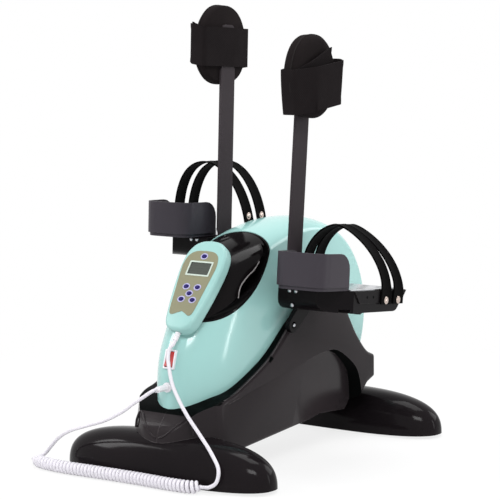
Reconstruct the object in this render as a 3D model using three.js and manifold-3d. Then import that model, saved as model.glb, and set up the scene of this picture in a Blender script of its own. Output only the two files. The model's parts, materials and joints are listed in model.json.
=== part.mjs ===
import * as THREE from 'three';
import { mergeVertices } from 'three/addons/utils/BufferGeometryUtils.js';
import Module from 'manifold-3d';

// Motorised pedal exerciser with heel cups, calf rests and a corded hand control.
// Millimetres, +Z up. Origin on the floor under the middle of the stance.
// +X is the right-hand side, -Y the nose where the user sits, +Y the rear.

const wasm = await Module();
wasm.setup();

// Fits and clearances
const seat_gap = 0.3;
const run_gap = 0.35;
const crank_side_gap = 3;
const cut_over = 5;
const merge_share = 0.003;
const repeat_share = 0.3;
const miter_share = 0.5;
const corner_steps = 3;
const round_steps = 14;
const small_steps = 12;
const bead_steps = 10;
const degree = Math.PI / 180;

// Stance and feet
const stance_length = 508;
const foot_half_length = 200;
const foot_half_depth = 54;
const foot_height = 74;
const foot_lift = 2.5;
const foot_end_rise = 3;
const foot_rise_power = 4;
const foot_wall = 3;
const foot_section_power_share = 2.3;
const foot_length_power_share = 2.9;
const foot_plan_power_share = 2.6;
const foot_end_angle = 88.2;
const foot_steps = 6;
const foot_inner_steps = 4;
const pad_radius = 19;
const pad_height = 9;
const pad_stem_radius = 8;
const pad_end_inset = 10;

// Welded base frame
const tube_height = 30;
const tube_depth = 34;
const tube_end_room = 58;
const tube_floor_gap = 19;
const spine_height = 26;
const spine_width = 46;
const weld_lap = 2;
const mast_wall = 5;
const mast_foot_half_length = 58;
const mast_head_radius = 27;
const strut_steps = 10;

// Crank drive
const axle_y = 43.6;
const axle_z = 291;
const axle_radius = 8.5;
const crank_radius = 54;
const crank_angle = 36.5;
const spare_hole_radius = 108;
const crank_thickness = 8.5;
const crank_boss_radius = 17;
const crank_half_width = 13;
const crank_cover_drop = 4;
const crank_steps = 8;
const axle_cap_thickness = 2;
const axle_room_gap = 1;
const spare_hole_bore = 5.5;
const bearing_radius = 17;
const bearing_width = 9;
const pulley_radius = 58;
const pulley_width = 10;
const pulley_groove = 2.4;
const pulley_x = 49;
const pulley_web = 4;
const pulley_rim = 6;
const pulley_hub_radius = 15;
const pulley_steps = 16;
const motor_y = -72;
const motor_z = 161;
const motor_radius = 33;
const motor_length = 62;
const motor_flange_radius = 37;
const motor_flange_width = 6;
const motor_cap_share = 0.55;
const motor_shaft_radius = 5;
const motor_pulley_radius = 13;
const belt_thickness = 3;
const belt_width = 7;
const belt_gap = 1;
const belt_steps = 12;

// Mint centre shell
const shell_half_width = 64;
const disc_y = 70;
const disc_z = 221;
const disc_radius = 172;
const disc_from_angle = -75;
const disc_to_angle = 88;
const disc_steps = 16;
const spine_steps = 18;
const tongue_y = -258;
const tongue_z = 107;
const shell_wall = 3;
const shell_edge_inset = 22;
const shell_edge_steps = 4;
const nose_round_length = 84;
const nose_from_y = -80;
const nose_full_y = -215;
const shell_rear_round = 14;
const skirt_depth = 11;
const plan_nose_steps = 12;
const plan_tail_steps = 8;
const plan_corner_power_share = 0.8;
const spine_shares = [
  [0.93, 1.0], [0.81, 0.985], [0.64, 0.945], [0.46, 0.872], [0.31, 0.762],
  [0.18, 0.618], [0.083, 0.46], [0.018, 0.3], [-0.004, 0.15], [0.0, 0.0],
];

// Black side covers
const cover_half_width = 90;
const cover_base_z = 46;
const cover_taper_share = 0.05;
const cover_wall = 3;
const cover_edge_reach = 7;
const cover_edge_steps = 2;
const cover_front_steps = 12;
const cover_corner_steps = 2;
const cover_base_points = [[240, 107], [200, 93], [150, 53], [60, 61], [-289, 34]];
const cover_front_y = -289;
const cover_rear_y = 240;
const cover_front_round = 89;
const cover_rear_round = 30;
const hub_round = 42;
const hub_from_angle = 35;
const hub_to_angle = 165;
const hub_steps = 7;
const rear_corner = 14;
const seam_gap = 0.3;
const cover_front_shares = [
  [1.0, 0.064], [0.985, 0.124], [0.949, 0.181], [0.906, 0.227], [0.798, 0.28],
  [0.677, 0.319], [0.423, 0.447], [0.251, 0.592], [0.135, 0.7], [0.122, 0.79],
];
const cover_rear_shares = [
  [0.32, 0.815], [0.51, 0.635], [0.646, 0.482], [0.813, 0.358], [0.94, 0.33], [1.0, 0.294],
];
const arch_y_front = -96;
const arch_y_rear = 177;
const arch_top_z = 173;
const arch_depth = 23;
const arch_steps = 16;
const arch_shares = [
  [0.0, 0.58], [0.1, 0.72], [0.24, 0.86], [0.42, 0.965], [0.6, 1.0],
  [0.73, 0.975], [0.865, 0.81], [0.965, 0.6], [1.0, 0.32], [1.0, 0.1],
];

// Carry handle: a saddle across the upper front of the shell, over a scoop for the fingers
const scoop_y = -146;
const scoop_z = 325.6;
const scoop_slope = 37.4;
const scoop_half_width = 113;
const scoop_half_length = 113;
const scoop_depth = 62;
const scoop_steps = 24;
const scoop_rows = 8;
const bowl_wall = 3;
const bowl_sink = 1;
const handle_lift = 18;
const handle_stretch = 14;
const handle_thickness = 12;
const handle_sink = 1.2;

// Hand control, lying on the slope
const hand_slope = 53.5;
const hand_x = 11.6;
const hand_y = -188.6;
const hand_z = 292.4;
const hand_length = 165;
const hand_width = 82;
const hand_thickness = 23;
const hand_edge = 6;
const hand_edge_steps = 2;
const hand_steps = 12;
const label_steps = 9;
const button_sides = 8;
const hand_shares = [
  [0.0, 0.5], [0.2, 0.487], [0.36, 0.44], [0.47, 0.345], [0.5, 0.22], [0.487, 0.08],
  [0.45, -0.1], [0.395, -0.27], [0.345, -0.39], [0.27, -0.46], [0.14, -0.497], [0.0, -0.5],
];
const label_shares = [
  [0.0, 0.395], [0.203, 0.385], [0.331, 0.33], [0.385, 0.22], [0.365, 0.08], [0.317, -0.12],
  [0.27, -0.3], [0.203, -0.345], [0.095, -0.322], [0.0, -0.3],
];
const label_thickness = 0.8;
const display_width = 42;
const display_height = 23;
const display_depth = 2;
const display_shift = 28.5;
const button_half_width = 4.6;
const button_half_height = 3.4;
const button_rise = 1.6;
const button_depth = 3;
const button_travel = 0.8;
const button_shares = [[0, 0.31], [-0.135, -0.033], [0.135, -0.033], [0, -0.106], [-0.135, -0.174],
  [0.135, -0.174]];
const relief_radius = 4.6;
const relief_length = 14;
const relief_groove = 0.9;
const relief_ribs = 3;

// Mains switch and cord socket on the nose
const switch_z = 190;
const switch_width = 21;
const switch_height = 31;
const switch_lip = 3;
const switch_bezel_depth = 4;
const switch_body_depth = 16;
const rocker_gap = 0.4;
const rocker_rise = 4;
const rocker_tilt = 8;
const rocker_back_share = 1.6;
const rocker_face_share = 0.75;
const rocker_dip_share = 0.35;
const socket_z = 146;
const socket_radius = 5.2;
const socket_length = 27;
const socket_collar_radius = 8;
const socket_collar_length = 4;

// Rear power inlet
const inlet_x = -42;
const inlet_z = 139;
const inlet_width = 24;
const inlet_height = 17;
const inlet_depth = 18;
const inlet_lip = 3;
const inlet_wall = 2.5;

// Pedals
const pedal_crank_gap = 8.5;
const pedal_width = 112.8;
const pedal_rear = 104;
const pedal_heel_width = 74;
const pedal_front = 106;
const pedal_toe_back = 28;
const pedal_top = 29.5;
const pedal_bottom = 6;
const pedal_wall = 3;
const pedal_web = 3.2;
const pedal_heel_round = 30;
const pedal_toe_round = 9;
const pedal_edge = 2;
const pedal_corner_steps = 4;
const pedal_boss_radius = 11.4;
const spindle_radius = 6;
const spindle_reach = 100;
const bushing_wall = 2.2;
const bushing_length = 92;
const right_pitch = 5;
const left_pitch = 2;
const tread_start = -57;
const tread_thickness = 1.6;
const tread_margin = 6;
const tread_hole_length = 19;
const tread_hole_width = 9;
const tread_rows = 5;
const tread_columns = 3;
const tread_rear_round = 4;
const tread_front_round = 8;
const tread_hole_sides = 6;
const tread_row_share = 0.8;
const tread_end_share = 0.6;
const tread_stagger_share = 0.5;
const flange_top = 29;
const flange_low = 9;
const flange_rear = -54;
const flange_slant = 16;
const flange_thickness = 2;
const cup_half_width = 47.7;
const cup_rear = 144;
const cup_front = -62;
const cup_lift = 5.5;
const cup_shift = 4;
const cup_steps = 5;
const cup_height = 54;
const cup_wall = 3;
const cup_round = 26;
const cup_corner = 27;
const cup_base = 3;

// Foot straps
const strap_width = 27;
const strap_thickness = 3;
const strap_peak_right = 134;
const strap_peak_left = 156;
const strap_centre_right = 57;
const strap_centre_left = 38;
const strap_spacing = 38;
const strap_set_back = 48;
const strap_lean_right = 50;
const strap_lean_left = 31;
const strap_upright = 30;
const strap_steps = 14;
const strap_draw_share = 0.25;
const strap_round_power_share = 0.9;
const strap_low = 6.7;
const strap_rivet_radius = 5;
const strap_rivet_rise = 2.2;
const strap_rivet_z_right = 13;
const strap_rivet_z_left = 62;

// Leg bars, calf pads and straps
const bar_width = 32;
const bar_thickness = 4.1;
const bar_place = -59;
const bar_low = 2;
const bar_top = 424;
const bar_low_round = 5;
const bar_top_round = 9;
const bar_rivet_shares = [0.28, 0.72];
const bar_rivet_rise = 1.1;
const pad_low = 304;
const pad_top = 438;
const pad_half_width = 62;
const pad_shift = -3;
const pad_thickness = 26;
const pad_crown = 9;
const pad_steps = 20;
const pad_corner_power_share = 0.86;
const pad_taper_share = 0.06;
const pad_layer_shares = [[0, 0.45], [0.16, 0], [0.55, 0], [0.82, 0.45], [0.96, 1.25], [1, 2.2]];
const leg_rest_drop_left = 13;
const leg_rest_drop_right = 0;
const calf_strap_low = 336;
const calf_strap_height = 62;
const calf_strap_thickness = 3;
const calf_strap_round = 8;
const calf_strap_outer = 24;
const calf_bar_share = 0.7;
const calf_front_share = 0.45;
const calf_rear_share = 0.72;
const calf_lip = 2;
const calf_tail_drop = 9;
const calf_tail_thickness = 2.6;

// Cord
const cord_diameter = 6;
const cord_sides = 6;
const cord_steps = 22;
const coil_outer = 21;
const coil_turns = 44;
const coil_steps = 8;
const coil_sides = 5;
const coil_ramp_turns = [0.6, 1.9];
const coil_probe_steps = 24;
const coil_route = [
  [-232, -316], [-204, -328], [-167, -333], [-122, -332], [-67, -329], [-7, -327], [53, -328], [88, -325],
    [112, -314],
];
const socket_route = [
  [-5, -302, 142], [-14, -306, 135], [-28, -308, 126], [-54, -309, 108], [-90, -309, 90], [-128, -309, 77],
  [-162, -308, 65], [-193, -302, 48], [-213, -299, 30], [-226, -301, 16],
];
const hand_route = [
  [8, -264, 210], [9, -270, 196], [16, -276, 179], [25, -281, 159], [40, -286, 138], [62, -290, 112],
  [89, -293, 85], [114, -298, 61], [132, -304, 38], [131, -309, 19],
];

// Colours
const mint = { color: 0xa6d3cf, roughness: 0.22, metalness: 0 };
const gloss_black = { color: 0x2f2b2d, roughness: 0.2, metalness: 0 };
const satin_black = { color: 0x1c1b1d, roughness: 0.45, metalness: 0 };
const cup_grey = { color: 0x5a555c, roughness: 0.5, metalness: 0 };
const steel_grey = { color: 0x4b464d, roughness: 0.45, metalness: 0.5 };
const bright_steel = { color: 0xb9bcc0, roughness: 0.3, metalness: 0.9 };
const rubber_black = { color: 0x141414, roughness: 0.8, metalness: 0 };
const cloth_black = { color: 0x252223, roughness: 0.95, metalness: 0 };
const cord_white = { color: 0xe6e4e6, roughness: 0.45, metalness: 0 };
const label_khaki = { color: 0x9a9b83, roughness: 0.5, metalness: 0 };
const display_green = { color: 0x69766f, roughness: 0.15, metalness: 0 };
const button_blue = { color: 0x2b2a86, roughness: 0.4, metalness: 0 };
const switch_red = { color: 0xb01c1a, roughness: 0.3, metalness: 0 };
const copper_brown = { color: 0x8c6a3c, roughness: 0.5, metalness: 0.6 };

const X = new THREE.Vector3(1, 0, 0);
const Y = new THREE.Vector3(0, 1, 0);
const Z = new THREE.Vector3(0, 0, 1);
const along_x = new THREE.Matrix4().makeBasis(Y, Z, X);
const along_y = new THREE.Matrix4().makeBasis(X, Z, Y.clone().negate());

// A closed geometry as a solid that can be joined and cut
function solid(geometry) {
  geometry.deleteAttribute('normal');
  geometry.deleteAttribute('uv');
  const merged = mergeVertices(geometry, seat_gap * merge_share);
  const vertProperties = new Float32Array(merged.attributes.position.array);
  const triVerts = new Uint32Array(merged.index.array);
  return new wasm.Manifold(new wasm.Mesh({ numProp: 3, vertProperties, triVerts }));
}

function geometryOf(body) {
  const mesh = body.getMesh();
  const geometry = new THREE.BufferGeometry();
  geometry.setAttribute('position', new THREE.BufferAttribute(mesh.vertProperties, 3));
  geometry.setIndex(new THREE.BufferAttribute(mesh.triVerts, 1));
  return geometry;
}

function shapeOf(points) {
  return new THREE.Shape(distinct(points).map(([a, b]) => new THREE.Vector2(a, b)));
}

// Prisms of an outline: (y, z) pushed along X, (x, y) along Z, (x, z) along Y
function prismX(points, from, to) {
  const geometry = new THREE.ExtrudeGeometry(shapeOf(points), { depth: to - from, bevelEnabled: false });
  return solid(geometry.applyMatrix4(along_x).translate(from, 0, 0));
}

function prismZ(points, from, to) {
  const geometry = new THREE.ExtrudeGeometry(shapeOf(points), { depth: to - from, bevelEnabled: false });
  return solid(geometry.translate(0, 0, from));
}

function prismY(points, from, to) {
  const geometry = new THREE.ExtrudeGeometry(shapeOf(points), { depth: to - from, bevelEnabled: false });
  return solid(geometry.applyMatrix4(along_y).translate(0, to, 0));
}

function box(low, high) {
  const geometry = new THREE.BoxGeometry(high[0] - low[0], high[1] - low[1], high[2] - low[2]);
  const middle = low.map((value, i) => (value + high[i]) / 2);
  return solid(geometry.translate(...middle));
}

function rodX(radius, from, to, y, z, steps = round_steps) {
  const geometry = new THREE.CylinderGeometry(radius, radius, to - from, steps);
  return solid(geometry.rotateZ(-Math.PI / 2).translate((from + to) / 2, y, z));
}

function rodZ(radius, from, to, x, y, steps = round_steps) {
  const geometry = new THREE.CylinderGeometry(radius, radius, to - from, steps);
  return solid(geometry.rotateX(Math.PI / 2).translate(x, y, (from + to) / 2));
}

// A body of revolution about the X axis from [x, radius] pairs that close on the axis
function turnedX(profile, y, z, steps = round_steps) {
  const points = profile.map(([x, radius]) => new THREE.Vector2(radius, x));
  const geometry = new THREE.LatheGeometry(points, steps).rotateZ(-Math.PI / 2);
  return solid(geometry.translate(0, y, z));
}

// A closed skin over rings of equal count, each end closed with a fan
function loft(rings) {
  const count = rings[0].length;
  const position = rings.flat().flatMap((point) => point.toArray());
  const index = [];
  for (let r = 0; r + 1 < rings.length; r += 1) {
    for (let i = 0; i < count; i += 1) {
      const a = r * count + i;
      const b = r * count + ((i + 1) % count);
      index.push(a, b, b + count);
      index.push(a, b + count, a + count);
    }
  }
  for (const [ring, start, turn] of [[rings[0], 0, false],
    [rings.at(-1), (rings.length - 1) * count, true]]) {
    const flat = flatten(ring);
    for (const face of THREE.ShapeUtils.triangulateShape(flat, [])) {
      const [a, b, c] = face.map((i) => start + i);
      index.push(...(turn ? [a, b, c] : [a, c, b]));
    }
  }
  const geometry = new THREE.BufferGeometry();
  geometry.setAttribute('position', new THREE.Float32BufferAttribute(position, 3));
  geometry.setIndex(index);
  return geometry;
}

// A ring seen along its own normal, so that its cap can be filled
function flatten(ring) {
  const normal = new THREE.Vector3();
  ring.forEach((point, i) => {
    const next = ring[(i + 1) % ring.length];
    normal.add(point.clone().cross(next));
  });
  normal.normalize();
  const side = new THREE.Vector3().subVectors(ring[1], ring[0]).normalize();
  const up = normal.clone().cross(side);
  return ring.map((point) => new THREE.Vector2(point.dot(side), point.dot(up)));
}

// An outline without points that repeat the one before
function distinct(points) {
  return points.filter(([a, b], i) => {
    const [c, d] = points[(i + points.length - 1) % points.length];
    return Math.hypot(a - c, b - d) > seat_gap * repeat_share;
  });
}

// An outline moved outwards by the same distance all round; negative moves it in
function grown(outline, distance) {
  const points = distinct(outline);
  const count = points.length;
  return points.map(([y, z], i) => {
    const [py, pz] = points[(i + count - 1) % count];
    const [ny, nz] = points[(i + 1) % count];
    const before = new THREE.Vector2(z - pz, py - y).normalize();
    const after = new THREE.Vector2(nz - z, y - ny).normalize();
    const normal = before.clone().add(after).normalize();
    const reach = distance / Math.max(normal.dot(before), miter_share);
    return [y + normal.x * reach, z + normal.y * reach];
  });
}

function smooth(points, steps) {
  const curve = new THREE.SplineCurve(points.map(([a, b]) => new THREE.Vector2(a, b)));
  return curve.getSpacedPoints(steps).map((point) => [point.x, point.y]);
}

function arc(y, z, radius, from, to, steps) {
  const points = [];
  for (let i = 0; i <= steps; i += 1) {
    const angle = (from + ((to - from) * i) / steps) * degree;
    points.push([y + radius * Math.cos(angle), z + radius * Math.sin(angle)]);
  }
  return points;
}

// A polygon whose corners [y, z, radius] are rounded
function rounded(corners, steps = corner_steps) {
  const count = corners.length;
  return corners.flatMap(([y, z, radius], i) => {
    const corner = new THREE.Vector2(y, z);
    if (radius === 0) return [[y, z]];
    const ends = [corners[(i + count - 1) % count], corners[(i + 1) % count]];
    const [from, to] = ends.map(([ey, ez]) => {
      const way = new THREE.Vector2(ey, ez).sub(corner);
      return corner.clone().add(way.setLength(Math.min(radius, way.length() / 2)));
    });
    const bend = new THREE.QuadraticBezierCurve(from, corner, to);
    return bend.getPoints(steps).map((point) => [point.x, point.y]);
  });
}

function oval(half_y, half_z, steps) {
  return arc(0, 0, 1, 0, 360 - 360 / steps, steps - 1).map(([a, b]) => [a * half_y, b * half_z]);
}

function mirrored(points) {
  const other = points.slice(1, -1).map(([a, b]) => [-a, b]);
  return [...other, ...points.toReversed()];
}

const group = new THREE.Group();

function add(name, body, finish, parent = group) {
  const geometry = body.isBufferGeometry ? body : geometryOf(body);
  const mesh = new THREE.Mesh(geometry, new THREE.MeshStandardMaterial(finish));
  mesh.name = name;
  parent.add(mesh);
  return mesh;
}

// Feet
const foot_y = stance_length / 2;
const tube_half_length = foot_half_length - tube_end_room;
const tube_top = tube_floor_gap + tube_height;
const spine_low = tube_top - weld_lap;
const spine_top = spine_low + spine_height;

function superellipse(share, power) {
  return (1 - Math.min(Math.abs(share), 1) ** power) ** (1 / power);
}

function footBody(grow, centre, steps = foot_steps) {
  const rings = [];
  for (let i = -steps; i <= steps; i += 1) {
    const share = Math.sin((i / steps) * foot_end_angle * degree);
    const depth = foot_half_depth * superellipse(share, foot_plan_power_share) + grow;
    const low = foot_lift + foot_end_rise * Math.abs(share) ** foot_rise_power;
    const height = (foot_height - low) * superellipse(share, foot_length_power_share) + grow;
    const ring = [];
    for (let j = 0; j <= steps + 2; j += 1) {
      const angle = (j / (steps + 2)) * Math.PI;
      const side = Math.cos(angle);
      const reach = Math.sign(side) * Math.abs(side) ** (2 / foot_section_power_share);
      const rise = Math.sin(angle) ** (2 / foot_section_power_share);
      ring.push(new THREE.Vector3(share * (foot_half_length + grow), centre + depth * reach,
        low + height * rise));
    }
    rings.push(ring);
  }
  return solid(loft(rings));
}

function footCover(centre) {
  const inner = footBody(-foot_wall, centre, foot_inner_steps).translate([0, 0, -foot_wall / 2]);
  const mouth = footBody(-foot_wall, centre, foot_inner_steps).translate([0, 0, -foot_wall]);
  const side = centre < 0 ? 1 : -1;
  const reach = [0, side * (foot_half_depth + cut_over)].sort((a, b) => a - b);
  const half = spine_width / 2 + seat_gap;
  const slot = box(
    [-half, centre + reach[0], spine_low - seat_gap],
    [half, centre + reach[1], spine_top + seat_gap],
  );
  return footBody(0, centre).subtract(inner).subtract(mouth).subtract(slot);
}

function footPad(x, y) {
  const disc = rodZ(pad_radius, 0, pad_height, x, y);
  return disc.add(rodZ(pad_stem_radius, pad_height - weld_lap, tube_floor_gap, x, y));
}

// Centre shell: a round disc drawn out into a tongue at the nose
function shellProfile() {
  const length = disc_y - tongue_y;
  const height = disc_z + disc_radius - tongue_z;
  const spine = spine_shares.map(([a, b]) => [tongue_y + a * length, tongue_z + b * height]);
  const disc = arc(disc_y, disc_z, disc_radius, disc_from_angle, disc_to_angle, disc_steps);
  const toe = [tongue_y, cover_base_z];
  return [...disc, ...smooth([disc.at(-1), ...spine], spine_steps).slice(1), toe];
}

function planOutline(half_width, front, front_round, rear, rear_round) {
  const nose = arc(0, 0, 1, 180, 360, plan_nose_steps).map(([a, b]) => [a * half_width,
    front + front_round * (1 + b)]);
  const tail = arc(0, 0, 1, 0, 180, plan_tail_steps).map(([a, b]) => {
    const corner = Math.sign(b) * Math.abs(b) ** plan_corner_power_share;
    return [a * half_width, rear - rear_round * (1 - corner)];
  });
  return [...nose, ...tail.slice(1, -1)];
}

// Across the shell the profile draws in towards each side, and further back at the nose
function shellBody(grow) {
  const profile = grown(shellProfile(), grow);
  const rings = [];
  for (let i = -shell_edge_steps; i <= shell_edge_steps; i += 1) {
    const turn = (i / shell_edge_steps) * 90 * degree;
    const ring = grown(profile, -shell_edge_inset * (1 - Math.cos(turn)));
    rings.push(ring.map(([y, z]) => {
      const share = THREE.MathUtils.smoothstep(y, nose_full_y, nose_from_y);
      const back = nose_round_length * (1 - Math.cos(turn)) * (1 - share);
      return new THREE.Vector3((shell_half_width + grow) * Math.sin(turn), y + back, z);
    }));
  }
  const half = shell_half_width + grow;
  const rear = disc_y + disc_radius + grow;
  const plan = rounded([
    [-half, tongue_y - cut_over, 0], [half, tongue_y - cut_over, 0], [half, rear, shell_rear_round],
    [-half, rear, shell_rear_round],
  ]);
  return solid(loft(rings)).intersect(prismZ(plan, 0, disc_z + disc_radius + cut_over));
}

// Side covers: an A-frame outline that wraps the nose and the rear
function coverProfile(base = cover_base_points) {
  const rise = (axle_z + hub_round - cover_base_z);
  const front = cover_front_shares.map(([a, b]) => [axle_y + a * (cover_front_y - axle_y),
    cover_base_z + b * rise]);
  const rear = cover_rear_shares.map(([a, b]) => [axle_y + a * (cover_rear_y - axle_y),
    cover_base_z + b * rise]);
  const hub = arc(axle_y, axle_z, hub_round, hub_from_angle, hub_to_angle, hub_steps);
  const rear_edge = rounded(rear.map(([y, z], i) => [y, z,
    i > 0 && i + 1 < rear.length ? rear_corner : 0]), cover_corner_steps);
  return [...base, ...smooth(front, cover_front_steps), ...hub.toReversed(), ...rear_edge].toReversed();
}

function coverBody(grow) {
  const profile = grown(coverProfile(), grow);
  const rings = [];
  for (let i = -cover_edge_steps; i <= cover_edge_steps + 1; i += 1) {
    const inner = i > 0 ? i - 1 : -i;
    const turn = (inner / cover_edge_steps) * 90 * degree;
    const inset = cover_edge_reach * (1 - Math.cos(turn));
    const x = cover_half_width + grow - cover_edge_reach * (1 - Math.sin(turn));
    const side = i > 0 ? 1 : -1;
    const ring = grown(profile, -inset);
    rings.push(ring.map(([y, z]) => new THREE.Vector3(side * (x - cover_taper_share * (z - cover_base_z)),
      y, z)));
  }
  const plan = planOutline(cover_half_width, cover_front_y, cover_front_round, cover_rear_y,
    cover_rear_round);
  return solid(loft(rings)).intersect(prismZ(grown(plan, grow), 0, axle_z + hub_round + cut_over));
}

function archProfile() {
  const length = arch_y_rear - arch_y_front;
  const points = arch_shares.map(([a, b]) => [arch_y_front + a * length,
    cover_base_z + b * (arch_top_z - cover_base_z)]);
  const edge = smooth(points, arch_steps);
  return [[arch_y_front, cover_base_z - cut_over], ...edge,
    [arch_y_rear, cover_base_z - cut_over]].toReversed();
}

// The recess under the arch: flush at its front end and deepest at the rear pillar
function archCut(grow) {
  const low = cover_half_width - arch_depth - grow;
  const cut = prismX(grown(archProfile(), grow), low, cover_half_width + cut_over);
  const slope = (arch_depth + cut_over) / (arch_y_rear - arch_y_front);
  return cut.warp((point) => {
    point[0] += slope * (arch_y_rear - point[1]);
  });
}

function coverShell(feet_room, shell_room) {
  const cavity = coverBody(-cover_wall);
  const arch_room = archCut(cover_wall);
  const right_cavity = cavity.subtract(arch_room).subtract(arch_room.mirror([1, 0, 0]));
  const arch = archCut(0);
  const wall = coverBody(0).subtract(right_cavity).subtract(arch).subtract(arch.mirror([1, 0, 0]));
  const half = spine_width / 2 + seat_gap;
  const spine_room = box([-half, -foot_y, 0], [half, foot_y, spine_top + seat_gap]);
  const hub_bore = rodX(axle_radius + axle_room_gap, -cover_half_width, cover_half_width, axle_y, axle_z);
  return wall.subtract(shell_room).subtract(feet_room).subtract(spine_room).subtract(hub_bore);
}

function halfSpace(side) {
  const far = cover_half_width + cut_over;
  const [from, to] = side > 0 ? [seam_gap / 2, far] : [-far, -seam_gap / 2];
  return box([from, -stance_length, 0], [to, stance_length, axle_z + crank_radius + hub_round]);
}

// A frame on the slope of the nose: X across, Y up along the slope, Z out of it
function slopeFrame(slope, x, y, z) {
  const along = new THREE.Vector3(0, Math.cos(slope * degree), Math.sin(slope * degree));
  return new THREE.Matrix4().makeBasis(X, along, X.clone().cross(along)).setPosition(new THREE.Vector3(x,
    y, z));
}

const scoop_frame = slopeFrame(scoop_slope, 0, scoop_y, scoop_z);
const hand_frame = slopeFrame(hand_slope, hand_x, hand_y, hand_z);
const hand_along = Y.clone().transformDirection(hand_frame);

// The scoop is part of an ellipsoid, wider than the shell, so that it opens on both sides
function scoop(grow, lift = 0, stretch = 0) {
  const reach = scoop_depth + grow;
  const ball = new THREE.SphereGeometry(reach, scoop_steps, scoop_rows).rotateZ(Math.PI / 2);
  ball.scale((scoop_half_width + grow) / reach, (scoop_half_length + stretch + grow) / reach, 1);
  return solid(ball.translate(0, 0, lift).applyMatrix4(scoop_frame));
}

function handleBowl(hand_room) {
  return scoop(-seat_gap).intersect(shellBody(-bowl_sink))
    .subtract(scoop(-seat_gap - bowl_wall))
    .subtract(hand_room);
}

function carryHandle(hand_room) {
  const skin = shellBody(-handle_sink).subtract(shellBody(-handle_sink - handle_thickness));
  const room = scoop(-2 * seat_gap - bowl_wall).intersect(scoop(0, handle_lift, handle_stretch));
  return skin.intersect(room).subtract(hand_room);
}

function handOutline(shares, steps) {
  const half = smooth(shares.map(([a, b]) => [a * hand_width, b * hand_length]), steps);
  return mirrored(half);
}

function bevelled(outline, thickness, edge, grow) {
  const geometry = new THREE.ExtrudeGeometry(shapeOf(grown(outline, grow)), {
    depth: thickness - 2 * edge, bevelThickness: edge + grow, bevelSize: edge, bevelOffset: -edge,
    bevelSegments: hand_edge_steps,
  });
  return geometry.translate(0, 0, edge);
}

function handBody(grow) {
  const geometry = bevelled(handOutline(hand_shares, hand_steps), hand_thickness, hand_edge, grow);
  return solid(geometry.applyMatrix4(hand_frame));
}

function handPrism(outline, from, to, x = 0, y = 0) {
  const geometry = new THREE.ExtrudeGeometry(shapeOf(outline), { depth: to - from, bevelEnabled: false });
  return solid(geometry.translate(x, y, from).applyMatrix4(hand_frame));
}

function rectangle(half_width, half_height) {
  return [[-half_width, -half_height], [half_width, -half_height], [half_width, half_height],
    [-half_width, half_height]];
}

const button_places = button_shares.map(([a, b]) => [a * hand_width, b * hand_length]);
const display_half = [display_width / 2, display_height / 2];

function handShell() {
  let shell = handBody(0);
  shell = shell.subtract(handPrism(
    rectangle(display_half[0] + seat_gap, display_half[1] + seat_gap),
    hand_thickness - display_depth - seat_gap, hand_thickness + cut_over, 0, display_shift,
  ));
  for (const [x, y] of button_places) {
    const hole = oval(button_half_width + run_gap, button_half_height + run_gap, button_sides);
    shell = shell.subtract(handPrism(hole, hand_thickness - button_depth - button_travel - seat_gap,
      hand_thickness + cut_over, x, y));
  }
  return shell;
}

function handLabel() {
  let label = handPrism(handOutline(label_shares, label_steps), hand_thickness,
    hand_thickness + label_thickness);
  const window = rectangle(display_half[0] - 2 * run_gap, display_half[1] - 2 * run_gap);
  label = label.subtract(handPrism(window, 0, hand_thickness + cut_over, 0, display_shift));
  for (const [x, y] of button_places) {
    const hole = oval(button_half_width + run_gap, button_half_height + run_gap, button_sides);
    label = label.subtract(handPrism(hole, 0, hand_thickness + cut_over, x, y));
  }
  return label;
}

function handButton([x, y]) {
  const top = hand_thickness + label_thickness + button_rise;
  return handPrism(oval(button_half_width, button_half_height, button_sides),
    hand_thickness - button_depth, top, x, y);
}

// The ribbed sleeve where the cord leaves the lower end of the hand control
function handRelief() {
  const profile = [[0, 0], [0, relief_radius]];
  for (let i = 1; i <= relief_ribs; i += 1) {
    const at = (relief_length * i) / (relief_ribs + 1);
    profile.push([at - relief_groove, relief_radius], [at, relief_radius - relief_groove],
      [at + relief_groove, relief_radius]);
  }
  profile.push([relief_length, cord_diameter / 2 + relief_groove], [relief_length, 0]);
  const points = profile.map(([along, radius]) => new THREE.Vector2(radius, along));
  const geometry = new THREE.LatheGeometry(points, bead_steps).rotateX(Math.PI);
  const low = -hand_length / 2 - seat_gap;
  return solid(geometry.translate(0, low, hand_thickness / 2).applyMatrix4(hand_frame));
}


// Nose fittings stand on the front of the shell, square to its slope
function noseFrame(z) {
  const front = shellProfile().filter(([y]) => y < disc_y - disc_radius / 2);
  const crossing = (level) => {
    const i = front.findIndex(([, b], k) => k > 0 && b <= level && front[k - 1][1] > level);
    const [[y0, z0], [y1, z1]] = [front[i - 1], front[i]];
    return y0 + ((level - z0) / (z1 - z0)) * (y1 - y0);
  };
  const low = new THREE.Vector3(0, crossing(z - switch_height / 2), z - switch_height / 2);
  const high = new THREE.Vector3(0, crossing(z + switch_height / 2), z + switch_height / 2);
  const up = high.clone().sub(low).normalize();
  const seat = new THREE.Vector3(0, crossing(z), z);
  return new THREE.Matrix4().makeBasis(X, up, X.clone().cross(up)).setPosition(seat);
}

function framePrism(frame, outline, from, to) {
  const geometry = new THREE.ExtrudeGeometry(shapeOf(outline), { depth: to - from, bevelEnabled: false });
  return solid(geometry.translate(0, 0, from).applyMatrix4(frame));
}

const switch_frame = noseFrame(switch_z);
const rocker_half = switch_height / 2 - switch_lip;
const rocker_half_width = switch_width / 2 - switch_lip;

function switchHole(grow) {
  return framePrism(switch_frame, rectangle(rocker_half_width + switch_lip / 2 + grow,
    rocker_half + switch_lip / 2 + grow),
    -switch_body_depth - grow, switch_bezel_depth + cut_over);
}

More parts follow.
